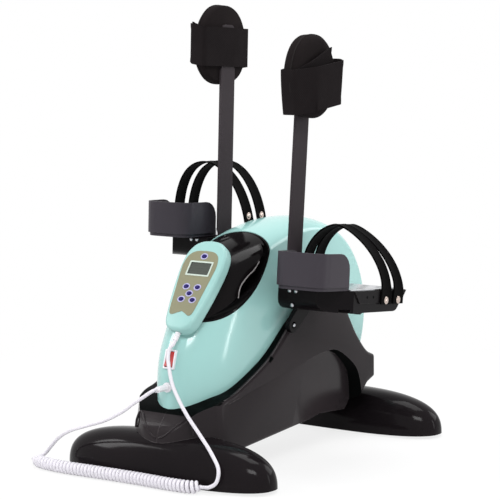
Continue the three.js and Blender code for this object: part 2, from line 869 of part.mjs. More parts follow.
function switchBezel() {
  const lip = rectangle(switch_width / 2, switch_height / 2).map(([a, b]) => [a, b, switch_lip / 2]);
  const plate = framePrism(switch_frame, rounded(lip), -switch_lip, switch_bezel_depth - switch_lip / 2)
    .subtract(shellBody(seat_gap));
  const body = framePrism(switch_frame, rectangle(rocker_half_width + switch_lip / 2,
    rocker_half + switch_lip / 2),
    -switch_body_depth, switch_bezel_depth - switch_lip / 2);
  const pocket = framePrism(switch_frame, rectangle(rocker_half_width + rocker_gap,
    rocker_half + rocker_gap),
    -switch_body_depth + switch_lip, switch_bezel_depth + cut_over);
  return plate.add(body).subtract(pocket);
}

// The rocker turns about a line across the switch, a little below its lip
function rockerKey() {
  const half = rocker_half - rocker_gap;
  const outline = [
    [-half, -rocker_rise], [0, -rocker_rise * rocker_back_share], [half, -rocker_rise],
    [half, rocker_rise * rocker_face_share], [0, rocker_rise * rocker_dip_share],
      [-half, rocker_rise * rocker_face_share],
  ];
  const geometry = new THREE.ExtrudeGeometry(shapeOf(outline),
    { depth: 2 * rocker_half_width, bevelEnabled: false });
  geometry.applyMatrix4(along_x).translate(-rocker_half_width, 0, 0).rotateX(-rocker_tilt * degree);
  return solid(geometry.applyMatrix4(switch_frame));
}

function cordSocket() {
  const frame = noseFrame(socket_z);
  const face = new THREE.Vector3().setFromMatrixPosition(frame);
  const ring = rodX(socket_collar_radius, 0, socket_collar_length + shell_wall, 0, 0, small_steps);
  const plug = rodX(socket_radius, -socket_collar_length, socket_length, 0, 0, small_steps);
  const grip = turnedX([
    [socket_length, 0], [socket_length, cord_diameter / 2 + relief_groove],
    [socket_length + socket_radius, cord_diameter / 2 + relief_groove], [socket_length + socket_radius, 0],
  ], 0, 0, small_steps);
  const outwards = (body) => body.rotate([0, 0, -90]).translate(face.toArray());
  const collar = outwards(ring).translate([0, shell_wall, 0]).subtract(shellBody(seat_gap));
  return collar.add(outwards(plug)).add(outwards(grip));
}

function socketHole(grow) {
  const face = new THREE.Vector3().setFromMatrixPosition(noseFrame(socket_z));
  const bore = rodX(socket_radius + grow, -socket_collar_length - shell_wall, shell_wall, 0, 0, small_steps);
  return bore.rotate([0, 0, -90]).translate(face.toArray());
}

function inletBox(grow, from, to) {
  const half_x = inlet_width / 2 + grow;
  const half_z = inlet_height / 2 + grow;
  return box([inlet_x - half_x, from, inlet_z - half_z], [inlet_x + half_x, to, inlet_z + half_z]);
}

function powerInlet() {
  const back = cover_rear_y - inlet_depth;
  const lip = inletBox(inlet_lip, cover_rear_y - 2 * cover_wall,
    cover_rear_y + inlet_wall / 2).subtract(coverBody(seat_gap));
  const pocket = inletBox(-inlet_wall, back + inlet_wall, cover_rear_y + cut_over);
  return inletBox(0, back, cover_rear_y).add(lip).subtract(pocket);
}

// Base frame
const mast_outer_x = spine_width / 2;
const mast_inner_x = mast_outer_x - mast_wall;
const mast_middle_x = (mast_outer_x + mast_inner_x) / 2;

function strut(y, z, head_radius, foot_half) {
  return [[y - foot_half, spine_low], [y + foot_half, spine_low],
    ...arc(y, z, head_radius, 0, 180, strut_steps)];
}

function mainFrame() {
  const back = tube_depth / 2;
  let frame = box([-spine_width / 2, -foot_y, spine_low], [spine_width / 2, foot_y, spine_top]);
  for (const side of [-1, 1]) {
    frame = frame.add(box(
      [-tube_half_length, side * foot_y - back, tube_floor_gap],
      [tube_half_length, side * foot_y + back, tube_top],
    ));
    const [from, to] = [side * mast_inner_x, side * mast_outer_x].sort((a, b) => a - b);
    frame = frame.add(prismX(strut(axle_y, axle_z, mast_head_radius, mast_foot_half_length), from, to));
  }
  const motor_plate = strut(motor_y, motor_z, motor_flange_radius, motor_flange_radius);
  frame = frame.add(prismX(motor_plate, mast_inner_x, mast_outer_x));
  const bearing_seat = rodX(bearing_radius + seat_gap, -spine_width, spine_width, axle_y, axle_z);
  const shaft_room = rodX(motor_shaft_radius + 2 * run_gap, 0, spine_width, motor_y, motor_z);
  return frame.subtract(bearing_seat).subtract(shaft_room);
}

function ringX(outer, inner, from, to, y, z) {
  return rodX(outer, from, to, y, z).subtract(rodX(inner, from - cut_over, to + cut_over, y, z));
}

function gearMotor() {
  const face = mast_inner_x - seat_gap;
  const can = rodX(motor_radius, face - motor_length, face, motor_y, motor_z);
  const flange = rodX(motor_flange_radius, face - motor_flange_width, face, motor_y, motor_z);
  const cap = rodX(motor_radius * motor_cap_share, face - motor_length - motor_flange_width,
    face - motor_length + weld_lap,
    motor_y, motor_z);
  return can.add(flange).add(cap);
}

// Two round ends joined by their common tangents, in the YZ plane
function loopOutline([y0, z0], r0, [y1, z1], r1, steps) {
  const reach = Math.hypot(y1 - y0, z1 - z0);
  const heading = Math.atan2(z1 - z0, y1 - y0) / degree;
  const spread = Math.acos((r0 - r1) / reach) / degree;
  return [
    ...arc(y0, z0, r0, heading + spread, heading + 360 - spread, steps),
    ...arc(y1, z1, r1, heading - spread, heading + spread, steps),
  ];
}

function driveBelt() {
  const seats = [pulley_radius, motor_pulley_radius].map((radius) => radius - pulley_groove + belt_gap);
  const ends = [[axle_y, axle_z], [motor_y, motor_z]];
  const half = belt_width / 2;
  const outer = loopOutline(ends[0], seats[0] + belt_thickness, ends[1], seats[1] + belt_thickness,
    belt_steps);
  const inner = loopOutline(ends[0], seats[0], ends[1], seats[1], belt_steps);
  return prismX(outer, pulley_x - half, pulley_x + half)
    .subtract(prismX(inner, pulley_x - half - cut_over, pulley_x + half + cut_over));
}

function pulleyRim(radius) {
  const half = pulley_width / 2;
  const groove = belt_width / 2 + run_gap;
  return [
    [half, radius], [groove, radius], [groove, radius - pulley_groove], [-groove, radius - pulley_groove],
    [-groove, radius], [-half, radius],
  ].map(([x, r]) => [pulley_x + x, r]);
}

function drivenPulley() {
  const half = pulley_width / 2;
  const web = pulley_web / 2;
  const inner = pulley_radius - pulley_rim;
  const bore = axle_radius + seat_gap;
  const profile = [
    ...pulleyRim(pulley_radius), [pulley_x - half, inner], [pulley_x - web, inner],
      [pulley_x - web, pulley_hub_radius],
    [pulley_x - pulley_width, pulley_hub_radius], [pulley_x - pulley_width, bore], [pulley_x + half, bore],
    [pulley_x + half, pulley_hub_radius], [pulley_x + web, pulley_hub_radius], [pulley_x + web, inner],
    [pulley_x + half, inner], [pulley_x + half, pulley_radius],
  ];
  return turnedX(profile.toReversed(), axle_y, axle_z, pulley_steps);
}

function motorPulley() {
  const end = pulley_x + pulley_width / 2;
  const start = mast_inner_x;
  const rim = pulleyRim(motor_pulley_radius);
  const profile = [
    [end, 0], ...rim, [rim.at(-1)[0], motor_shaft_radius], [start, motor_shaft_radius], [start, 0],
  ];
  return turnedX(profile.toReversed(), motor_y, motor_z);
}

// Cranks: the axle runs between them, each spindle stands out of its crank
const crank_half_gap = cover_half_width - crank_cover_drop;
const crank_outer_x = crank_half_gap + crank_thickness;
const pedal_inner_x = crank_outer_x + pedal_crank_gap;
const pedal_outer_x = pedal_inner_x + pedal_width;

function crankPoint(side, radius) {
  const angle = crank_angle * degree;
  return [axle_y - side * radius * Math.cos(angle), axle_z - side * radius * Math.sin(angle)];
}

function crankAxle() {
  const reach = crank_outer_x + seat_gap;
  const rod = rodX(axle_radius, -reach, reach, axle_y, axle_z, small_steps);
  const caps = [-1, 1].map((side) => {
    const [from, to] = [side * reach, side * (reach + axle_cap_thickness)].sort((a, b) => a - b);
    return rodX(crank_half_width, from, to, axle_y, axle_z, small_steps);
  });
  return rod.add(caps[0]).add(caps[1]);
}

function sided(body, side) {
  return side > 0 ? body : body.mirror([1, 0, 0]);
}

function crank(side) {
  const tip = crankPoint(side, spare_hole_radius);
  const outline = loopOutline([axle_y, axle_z], crank_boss_radius, tip, crank_half_width, crank_steps);
  let arm = prismX(outline, crank_half_gap, crank_outer_x);
  const bores = [
    [0, axle_radius + seat_gap], [crank_radius, spindle_radius + seat_gap],
      [spare_hole_radius, spare_hole_bore],
  ];
  for (const [radius, bore] of bores) {
    const [y, z] = crankPoint(side, radius);
    arm = arm.subtract(rodX(bore, crank_half_gap - cut_over, crank_outer_x + cut_over, y, z));
  }
  return sided(arm, side);
}

function spindle(side) {
  const [y, z] = crankPoint(side, crank_radius);
  const end = pedal_inner_x + spindle_reach;
  const rod = rodX(spindle_radius, crank_half_gap, end, y, z);
  const shoulder_from = crank_outer_x + seat_gap;
  const shoulder = rodX(spindle_radius + crank_side_gap, shoulder_from, shoulder_from + crank_side_gap, y,
    z);
  const collar_from = pedal_inner_x + bushing_length + 2 * run_gap;
  const collar = rodX(spindle_radius + bushing_wall - run_gap, collar_from, end, y, z);
  return sided(rod.add(shoulder).add(collar), side);
}

function bushing(side) {
  const [y, z] = crankPoint(side, crank_radius);
  const from = pedal_inner_x + run_gap;
  const sleeve = ringX(spindle_radius + bushing_wall, spindle_radius + run_gap, from,
    pedal_inner_x + bushing_length, y, z);
  return sided(sleeve, side);
}

// Pedal pieces, around the spindle at y = 0, z = 0, with the toe towards +Y
function pedalProfile(inset, drop) {
  const back = -pedal_rear + inset;
  const low = -pedal_bottom + inset;
  return rounded([
    [back, pedal_top - drop, pedal_edge], [back, low, pedal_heel_round - inset],
    [pedal_front - pedal_toe_back - inset, low, pedal_toe_round - inset],
    [pedal_front - inset, pedal_top - drop, pedal_edge],
  ], pedal_corner_steps);
}

function pedalFrame() {
  const inner = pedal_inner_x + pedal_wall;
  const outer = pedal_outer_x - pedal_wall;
  const under = pedalProfile(pedal_wall, pedal_web);
  const plan = [
    [pedal_inner_x, -pedal_rear], [pedal_inner_x + pedal_heel_width, -pedal_rear],
    [pedal_outer_x, flange_rear], [pedal_outer_x, pedal_front], [pedal_inner_x, pedal_front],
  ];
  const inner_plan = grown(plan, -pedal_wall);
  const mouth = box(
    [inner, -pedal_rear + pedal_heel_round, -pedal_bottom - cut_over],
    [outer, pedal_front - pedal_toe_back - pedal_toe_round, 0],
  );
  const window = box(
    [inner + tread_margin, tread_start + tread_margin, 0],
    [outer - tread_margin, pedal_front - 2 * tread_margin, pedal_top + cut_over],
  );
  const boss = rodX(pedal_boss_radius, pedal_inner_x, pedal_inner_x + bushing_length, 0, 0);
  const bore_end = pedal_inner_x + spindle_reach + pedal_wall;
  const bore = rodX(spindle_radius + bushing_wall + run_gap, pedal_inner_x - cut_over, bore_end, 0, 0);
  const flange = [
    [flange_rear, flange_top], [flange_rear + flange_slant, flange_low],
    [pedal_front - flange_slant, flange_low], [pedal_front, flange_top],
  ];
  return prismX(pedalProfile(0, 0), pedal_inner_x, pedal_outer_x)
    .intersect(prismZ(plan, -pedal_bottom, pedal_top))
    .subtract(prismX(under, inner, outer).intersect(prismZ(inner_plan, -pedal_bottom, pedal_top)))
    .subtract(mouth)
    .subtract(window)
    .add(boss)
    .add(prismX(flange, pedal_outer_x - pedal_wall / 2, pedal_outer_x + flange_thickness))
    .subtract(bore);
}

function treadPlate() {
  const from = pedal_inner_x + tread_margin / 2;
  const to = pedal_outer_x - tread_margin / 2;
  const front = pedal_front - tread_margin / 2;
  const outline = shapeOf(rounded([
    [from, tread_start, tread_rear_round], [to, tread_start, tread_rear_round],
    [to, front, tread_front_round], [from, front, tread_front_round],
  ]));
  const pitch_y = (front - tread_start) / (tread_rows + tread_end_share);
  const pitch_x = (to - from) / (tread_columns + tread_stagger_share);
  for (let row = 0; row < tread_rows; row += 1) {
    for (let column = 0; column < tread_columns; column += 1) {
      const x = from + pitch_x * (column + tread_stagger_share * (1 + (row % 2)));
      const y = tread_start + pitch_y * (row + tread_row_share);
      const hole = oval(tread_hole_length / 2, tread_hole_width / 2, tread_hole_sides);
      outline.holes.push(new THREE.Path(hole.map(([a, b]) => new THREE.Vector2(x + a, y + b))));
    }
  }
  const geometry = new THREE.ExtrudeGeometry(outline, { depth: tread_thickness, bevelEnabled: false });
  return solid(geometry.translate(0, 0, pedal_top + seat_gap));
}

const cup_middle_x = (pedal_inner_x + pedal_outer_x) / 2 + cup_shift;

function cupOutline(inset, front = cup_front) {
  const half = cup_half_width - inset;
  const round = cup_round - inset;
  const back = -cup_rear + inset;
  return rounded([[-half, front, 0], [-half, back, round], [half, back, round], [half, front, 0]], cup_steps)
    .map(([x, y]) => [cup_middle_x + x, y]);
}

function heelCup() {
  const low = pedal_top + seat_gap;
  const floor = low + cup_lift;
  const high = floor + cup_height;
  const inside = prismZ(cupOutline(cup_wall, cup_front + cut_over), floor + cup_base, high + cut_over);
  const base = prismZ(cupOutline(cup_wall, tread_start - seat_gap), low, floor + cup_base);
  const corner_y = cup_front - cup_corner;
  const corner_z = high - cup_corner;
  const corner = [
    [corner_y, high], ...arc(corner_y, corner_z, cup_corner, 90, 0, cup_steps).slice(1),
    [cup_front + cut_over, corner_z], [cup_front + cut_over, high + cut_over], [corner_y, high + cut_over],
  ];
  return prismZ(cupOutline(0), floor, high)
    .subtract(inside)
    .add(base)
    .subtract(prismX(corner, 0, pedal_outer_x + cut_over));
}

// A foot strap: up from one side of the pedal, back over the foot and down the other side
function strapPath(side, place, centre, peak, lean) {
  const out = strap_thickness / 2 + seat_gap;
  const right = side > 0 ? pedal_outer_x + flange_thickness + out : -pedal_inner_x + out;
  const left = side > 0 ? pedal_inner_x - out : -pedal_outer_x - flange_thickness - out;
  const middle = (right + left) / 2;
  const half = (right - left) / 2;
  const path = [];
  for (let i = 0; i <= strap_steps; i += 1) {
    const angle = (i / strap_steps) * Math.PI;
    const reach = Math.sign(Math.cos(angle)) * Math.abs(Math.cos(angle)) ** strap_round_power_share;
    path.push([middle + half * reach, Math.sin(angle)]);
  }
  const points = [[right, -1], ...path, [left, -1]].map(([x, rise]) => {
    const across = (right - x) / (right - left);
    const share = Math.max(rise, 0);
    const crown = strap_low + strap_upright + (peak - strap_low - strap_upright) * share;
    const spread = (place - centre) * (1 - strap_draw_share * share);
    return new THREE.Vector3(
      x, centre + spread - strap_set_back * across - lean * share, rise < 0 ? strap_low : crown,
    );
  });
  return new THREE.CatmullRomCurve3(points, false, 'chordal');
}

function footStrap(side, place, { centre, peak, lean, rivet_z }) {
  const spine = strapPath(side, place, centre, peak, lean).getSpacedPoints(strap_steps + small_steps / 2);
  const last = spine.length - 1;
  const rings = spine.map((point, i) => {
    const way = spine[Math.min(i + 1, last)].clone().sub(spine[Math.max(i - 1, 0)]);
    way.y = 0;
    const face = way.normalize().clone().cross(Y);
    return [[1, 1], [-1, 1], [-1, -1], [1, -1]].map(([a, b]) => point.clone()
      .addScaledVector(Y, (a * strap_width) / 2).addScaledVector(face, (b * strap_thickness) / 2));
  });
  const reach = strap_thickness / 2 + strap_rivet_rise;
  const ends = [[spine[0], 0, reach], [spine[last], -reach, 0]];
  return ends.reduce((strap, [end, inner, outer]) => {
    const across = end.y - spine[0].y;
    return strap.add(rodX(strap_rivet_radius, end.x + inner, end.x + outer, place + across, rivet_z,
      bead_steps));
  }, solid(loft(rings)));
}

const bar_outer_x = pedal_inner_x - seat_gap;
const bar_inner_x = bar_outer_x - bar_thickness;

function legBar(drop) {
  const half = bar_width / 2;
  const top = bar_top - drop;
  const outline = rounded([
    [bar_place - half, bar_low, bar_low_round], [bar_place + half, bar_low, bar_low_round],
    [bar_place + half, top, bar_top_round], [bar_place - half, top, bar_top_round],
  ]);
  const bar = prismX(outline, bar_inner_x, bar_outer_x);
  return bar_rivet_shares.reduce((body, share) => {
    const z = bar_low + (pedal_top - bar_low) * share;
    const from = bar_inner_x - bar_rivet_rise;
    return body.add(rodX(strap_rivet_radius, from, bar_outer_x - seat_gap, bar_place, z, bead_steps));
  }, bar);
}

function calfPad(drop) {
  const half_height = (pad_top - pad_low) / 2;
  const bulge = (value) => Math.sign(value) * Math.abs(value) ** pad_corner_power_share;
  const outline = oval(1, 1, pad_steps).map(([a, b]) => {
    const half = pad_half_width * (1 - pad_taper_share * bulge(b));
    return [bar_place + pad_shift + bulge(a) * half, pad_low + half_height * (1 + bulge(b))];
  });
  const from = bar_outer_x + seat_gap;
  const rings = pad_layer_shares.map(([depth, inset]) => grown(outline, -inset * pad_crown)
    .map(([y, z]) => new THREE.Vector3(from + depth * pad_thickness, y, z)));
  return solid(loft(rings)).translate([0, 0, -drop]);
}

// The calf strap: a loop round the bar and the pad that stands off the pad's face
function calfLoop(grow, low, high) {
  const side = pad_half_width + seat_gap;
  const inner = bar_inner_x - seat_gap;
  const face = bar_outer_x + pad_thickness;
  const outer = face + calf_strap_outer;
  const bar_half = bar_width * calf_bar_share;
  const middle = bar_place + pad_shift;
  const corners = [
    [inner, bar_place + bar_half], [inner, bar_place - bar_half],
    [bar_inner_x, middle - side], [face, middle - side],
    [outer - calf_lip, middle - side * calf_front_share], [outer, middle + side * calf_rear_share],
    [face + calf_lip, middle + side], [bar_inner_x, middle + side],
  ].map(([x, y]) => [x, y, calf_strap_round]);
  return prismZ(grown(rounded(corners), grow), low, high);
}

function calfStrap(drop) {
  const low = calf_strap_low - drop;
  const high = low + calf_strap_height;
  const band = calfLoop(calf_strap_thickness, low,
    high).subtract(calfLoop(0, low - cut_over, high + cut_over));
  const tail_from = bar_outer_x + pad_thickness + seat_gap;
  const tail_room = box(
    [tail_from, bar_place - pad_half_width, 0],
    [pedal_outer_x, bar_place + pad_half_width, high + cut_over],
  );
  const tail = calfLoop(calf_strap_thickness + calf_tail_thickness, low - calf_tail_drop,
    high - calf_tail_drop)
    .subtract(calfLoop(calf_strap_thickness - run_gap, low - calf_tail_drop - cut_over, high))
    .intersect(tail_room);
  return band.add(tail);
}

// Cord
function tube(points) {
  const curve = new THREE.CatmullRomCurve3(points, false, 'centripetal');
  const section = shapeOf(oval(cord_diameter / 2, cord_diameter / 2, cord_sides));
  return new THREE.ExtrudeGeometry(section, { steps: cord_steps, extrudePath: curve, bevelEnabled: false });
}

const coil_height = coil_outer / 2;
const coil_curve = new THREE.CatmullRomCurve3(
  coil_route.map(([x, y]) => new THREE.Vector3(x, y, coil_height)), false, 'centripetal',
);

function coilPoint(share) {
  const ramp = THREE.MathUtils.smoothstep(Math.min(share, 1 - share) * coil_turns, ...coil_ramp_turns);
  const reach = ((coil_outer - cord_diameter) / 2) * ramp;
  const turn = share * coil_turns * 2 * Math.PI;
  const way = coil_curve.getTangentAt(share);
  const side = Z.clone().cross(way);
  return coil_curve.getPointAt(share).addScaledVector(side, reach * Math.cos(turn)).addScaledVector(Z,
    reach * Math.sin(turn));
}

function curlyCoil() {
  const steps = coil_turns * coil_steps;
  const step_share = 1 / (4 * steps);
  const rings = [];
  for (let i = 0; i <= steps; i += 1) {
    const share = i / steps;
    const at = coilPoint(share);
    const ahead = coilPoint(Math.min(share + step_share, 1));
    const behind = coilPoint(Math.max(share - step_share, 0));
    const way = ahead.sub(behind).normalize();
    const turn = share * coil_turns * 2 * Math.PI;
    const along = coil_curve.getTangentAt(share);
    const side = Z.clone().cross(along);
    const out = side.clone().multiplyScalar(Math.cos(turn)).addScaledVector(Z, Math.sin(turn));
    out.addScaledVector(way, -out.dot(way)).normalize();
    const other = way.clone().cross(out);
    rings.push(oval(cord_diameter / 2, cord_diameter / 2, coil_sides)
      .map(([a, b]) => at.clone().addScaledVector(out, a).addScaledVector(other, b)));
  }
  return solid(loft(rings));
}

// The least gap between the tube and its own next turns, from points on its centre line
function coilGap() {
  const count = coil_turns * coil_probe_steps;
  const samples = Array.from({ length: count + 1 }, (_, i) => coilPoint(i / count));
  let least = Infinity;
  samples.forEach((point, i) => {
    let along = 0;
    for (let j = i + 1; j < samples.length && j < i + 2 * coil_probe_steps; j += 1) {
      along += samples[j].distanceTo(samples[j - 1]);
      if (along > 2 * cord_diameter) least = Math.min(least, point.distanceTo(samples[j]));
    }
  });
  return least - cord_diameter;
}

function vectors(route) {
  return route.map(([x, y, z]) => new THREE.Vector3(x, y, z));
}

// Housing
const hand_room = handBody(seat_gap);
const feet_room = footBody(seat_gap, -foot_y).add(footBody(seat_gap, foot_y));
const skirt_z = cover_base_z + skirt_depth + cut_over;
const below_skirt = box(
  [-shell_half_width * 2, -stance_length, 0],
  [shell_half_width * 2, stance_length, skirt_z],
);
const shell_room = shellBody(seat_gap).subtract(below_skirt);
const cover_wall_body = coverShell(feet_room, shell_room);

function centreShell() {
  const floor = [[cover_rear_y, 0], [cover_front_y, 0]];
  const inside_covers = prismX(grown(coverProfile(floor), -skirt_depth), -cover_half_width,
    cover_half_width);
  return shellBody(0)
    .subtract(shellBody(-shell_wall))
    .subtract(inside_covers)
    .subtract(below_skirt)
    .subtract(scoop(0))
    .subtract(switchHole(run_gap))
    .subtract(socketHole(run_gap))
    .subtract(hand_room);
}

add('main_frame', mainFrame(), steel_grey);
add('front_foot_cover', footCover(-foot_y), gloss_black);
add('rear_foot_cover', footCover(foot_y), gloss_black);
for (const [end, end_side] of [['front', -1], ['rear', 1]]) {
  for (const [hand, side] of [['left', -1], ['right', 1]]) {
    add(`foot_pad_${end}_${hand}`, footPad(side * (tube_half_length - pad_end_inset), end_side * foot_y),
      rubber_black);
  }
}
add('centre_shell', centreShell(), mint);
add('side_cover_right', cover_wall_body.intersect(halfSpace(1)), gloss_black);
add('side_cover_left', cover_wall_body.intersect(halfSpace(-1)).subtract(inletBox(run_gap, 0,
  stance_length)), gloss_black);
add('handle_bowl', handleBowl(hand_room), gloss_black);
add('carry_handle', carryHandle(hand_room), gloss_black);
add('power_inlet', powerInlet(), satin_black);
add('switch_bezel', switchBezel(), cord_white);
add('rocker_switch', rockerKey(), switch_red);
add('cord_socket', cordSocket(), cord_white);

// Drive
add('gear_motor', gearMotor(), steel_grey);
add('motor_pulley', motorPulley(), bright_steel);
add('drive_belt', driveBelt(), rubber_black);
add('driven_pulley', drivenPulley(), satin_black);
add('crank_axle', crankAxle(), bright_steel);
for (const [hand, side] of [['left', -1], ['right', 1]]) {
  const middle = side * mast_middle_x;
  add(`bearing_${hand}`, ringX(bearing_radius, axle_radius + run_gap,
    middle - bearing_width / 2, middle + bearing_width / 2, axle_y, axle_z), bright_steel);
  add(`crank_${hand}`, crank(side), satin_black);
  add(`spindle_${hand}`, spindle(side), bright_steel);
  add(`pedal_bushing_${hand}`, bushing(side), copper_brown);
}

// Pedals, each in its own frame on its spindle
const left = {
  centre: strap_centre_left, peak: strap_peak_left, lean: strap_lean_left, rivet_z: strap_rivet_z_left,
  pitch: left_pitch, drop: leg_rest_drop_left,
};
const right = {
  centre: strap_centre_right, peak: strap_peak_right, lean: strap_lean_right, rivet_z: strap_rivet_z_right,
  pitch: right_pitch, drop: leg_rest_drop_right,
};
for (const [hand, side, own] of [['left', -1, left], ['right', 1, right]]) {
  const pedal = new THREE.Group();
  pedal.position.set(0, ...crankPoint(side, crank_radius));
  pedal.rotation.x = -own.pitch * degree;
  group.add(pedal);
  add(`pedal_frame_${hand}`, sided(pedalFrame(), side), satin_black, pedal);
  add(`tread_plate_${hand}`, sided(treadPlate(), side), bright_steel, pedal);
  add(`heel_cup_${hand}`, sided(heelCup(), side), cup_grey, pedal);
  for (const [end, shift] of [['rear', -1], ['front', 1]]) {
    const place = own.centre + (shift * strap_spacing) / 2;
    add(`foot_strap_${end}_${hand}`, footStrap(side, place, own), rubber_black, pedal);
  }
  add(`leg_bar_${hand}`, sided(legBar(own.drop), side), steel_grey, pedal);
  add(`calf_pad_${hand}`, sided(calfPad(own.drop), side), cloth_black, pedal);
  add(`calf_strap_${hand}`, sided(calfStrap(own.drop), side), cloth_black, pedal);
}

// Hand control
add('hand_shell', handShell(), mint);
add('hand_label', handLabel(), label_khaki);
add('hand_display', handPrism(
  rectangle(...display_half), hand_thickness - display_depth, hand_thickness - seat_gap, 0, display_shift,
), display_green);
add('hand_relief', handRelief(), cord_white);
button_places.forEach((place, i) => add(`hand_button_${i + 1}`, handButton(place), button_blue));

// Cord, from the socket to the coil on the floor and up to the hand control
const coil_start = coil_curve.getPointAt(0);
const coil_end = coil_curve.getPointAt(1);
const start_way = coil_curve.getTangentAt(0);
const end_way = coil_curve.getTangentAt(1);
const socket_face = new THREE.Vector3().setFromMatrixPosition(noseFrame(socket_z));
const plug_end = socket_face.clone().addScaledVector(Y, -socket_length - socket_radius - seat_gap);
const relief_end = new THREE.Vector3(0, -hand_length / 2 - relief_length - 2 * seat_gap, hand_thickness / 2)
  .applyMatrix4(hand_frame);
const socket_points = [
  plug_end,
  plug_end.clone().addScaledVector(Y, -cord_diameter),
  ...vectors(socket_route),
  coil_start.clone().addScaledVector(start_way, -cord_diameter - seat_gap),
  coil_start.clone().addScaledVector(start_way, -seat_gap),
];
const hand_points = [
  relief_end,
  relief_end.clone().addScaledVector(hand_along, -cord_diameter),
  ...vectors(hand_route),
  coil_end.clone().addScaledVector(end_way, cord_diameter + seat_gap),
  coil_end.clone().addScaledVector(end_way, seat_gap),
];
add('cord_to_socket', solid(tube(socket_points)), cord_white);
add('cord_to_hand', solid(tube(hand_points)), cord_white);
add('cord_coil', curlyCoil(), cord_white);
console.log(`Least gap between the turns of the coil: ${coilGap().toFixed(2)} mm`);

export default group;
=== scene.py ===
import json
import math

import bmesh
import bpy
from mathutils import Matrix, Vector, noise

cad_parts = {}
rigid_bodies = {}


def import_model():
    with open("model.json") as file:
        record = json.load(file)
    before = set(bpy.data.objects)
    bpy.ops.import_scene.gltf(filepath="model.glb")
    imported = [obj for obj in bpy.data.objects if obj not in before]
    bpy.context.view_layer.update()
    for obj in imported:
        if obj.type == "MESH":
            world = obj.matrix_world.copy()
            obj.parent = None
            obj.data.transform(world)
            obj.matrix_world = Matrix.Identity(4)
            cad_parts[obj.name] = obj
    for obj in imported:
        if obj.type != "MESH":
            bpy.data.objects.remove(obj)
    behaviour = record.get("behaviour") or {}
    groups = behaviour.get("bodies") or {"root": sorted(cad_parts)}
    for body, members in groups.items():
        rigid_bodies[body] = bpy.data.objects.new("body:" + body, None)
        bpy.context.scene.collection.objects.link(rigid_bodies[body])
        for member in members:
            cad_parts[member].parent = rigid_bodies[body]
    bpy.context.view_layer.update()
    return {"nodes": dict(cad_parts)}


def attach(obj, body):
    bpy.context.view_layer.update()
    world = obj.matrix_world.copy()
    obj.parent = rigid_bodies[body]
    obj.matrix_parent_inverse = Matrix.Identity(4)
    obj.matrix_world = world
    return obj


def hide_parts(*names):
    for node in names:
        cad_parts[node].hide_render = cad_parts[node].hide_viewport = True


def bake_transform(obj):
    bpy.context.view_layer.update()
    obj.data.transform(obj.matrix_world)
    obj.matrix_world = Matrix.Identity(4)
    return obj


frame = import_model()
nodes = frame["nodes"]

# Pieces are placed in metres, in the CAD's frame; MM turns the drawing's millimetres into metres.
MM = 0.001
HANDS = {"right": 1.0, "left": -1.0}

# Camera

CAMERA_PLACE = Vector((1.83544, -2.61801, 0.70630))
CAMERA_TARGET = Vector((-0.0189, 0.0, 0.3334))
CAMERA_LENS = 137.8
CAMERA_SHIFT = (-0.0056, 0.007)


def place_camera():
    data = bpy.data.cameras.new("studio_camera")
    data.lens = CAMERA_LENS
    data.sensor_width = 36.0
    data.shift_x, data.shift_y = CAMERA_SHIFT
    data.clip_start, data.clip_end = 0.1, 20.0
    camera = bpy.data.objects.new("studio_camera", data)
    bpy.context.scene.collection.objects.link(camera)
    camera.location = CAMERA_PLACE
    way = CAMERA_TARGET - CAMERA_PLACE
    camera.rotation_mode = "QUATERNION"
    camera.rotation_quaternion = way.to_track_quat("-Z", "Y")
    bpy.context.scene.camera = camera


place_camera()


# Curves, rings and meshes


def catmull_point(points, power, share):
    """A point of the open curve through the points, at share 0 to 1 of its segments."""
    count = len(points)
    at = share * (count - 1)
    i = min(int(at), count - 2)
    t = at - i
    p1, p2 = points[i], points[i + 1]
    p0 = points[i - 1] if i > 0 else 2 * p1 - p2
    p3 = points[i + 2] if i + 2 < count else 2 * p2 - p1
    d0 = max((p1 - p0).length ** power, 1e-6)
    d1 = max((p2 - p1).length ** power, 1e-6)
    d2 = max((p3 - p2).length ** power, 1e-6)
    m1 = ((p1 - p0) / d0 - (p2 - p0) / (d0 + d1) + (p2 - p1) / d1) * d1
    m2 = ((p2 - p1) / d1 - (p3 - p1) / (d1 + d2) + (p3 - p2) / d2) * d1
    a = 2 * p1 - 2 * p2 + m1 + m2
    b = -3 * p1 + 3 * p2 - 2 * m1 - m2
    return ((a * t + b) * t + m1) * t + p1


def even_curve(points, power, steps, fine=24):
    """The curve through the points, as steps + 1 points an equal way apart."""
    total = fine * (len(points) - 1)
    line = [catmull_point(points, power, i / total) for i in range(total + 1)]
    return even_line(line, steps)


def even_line(line, steps):
    ways = [0.0]
    for a, b in zip(line, line[1:]):
        ways.append(ways[-1] + (b - a).length)
    out, j = [], 0
    for i in range(steps + 1):
        goal = ways[-1] * i / steps
        while j < len(ways) - 2 and ways[j + 1] < goal:
            j += 1
        span = max(ways[j + 1] - ways[j], 1e-9)
        out.append(line[j].lerp(line[j + 1], (goal - ways[j]) / span))
    return out


def rounded(corners, steps=6):
    """A closed outline of (a, b, radius) corners, each rounded by a smooth bend."""
    out, count = [], len(corners)
    for i, (a, b, radius) in enumerate(corners):
        corner = Vector((a, b))
        if radius == 0:
            out.append(corner)
            continue
        ends = []
        for other in (corners[i - 1], corners[(i + 1) % count]):
            way = Vector(other[:2]) - corner
            ends.append(corner + way.normalized() * min(radius, way.length / 2))
        for k in range(steps + 1):
            t = k / steps
            out.append(ends[0].lerp(corner, t).lerp(corner.lerp(ends[1], t), t))
    return out


def oval(a, b, steps, turn=0.0):
    turns = [2 * math.pi * i / steps + turn for i in range(steps)]
    return [Vector((a * math.cos(t), b * math.sin(t))) for t in turns]


def smoothstep(value, low, high):
    t = min(max((value - low) / (high - low), 0.0), 1.0)
    return t * t * (3 - 2 * t)


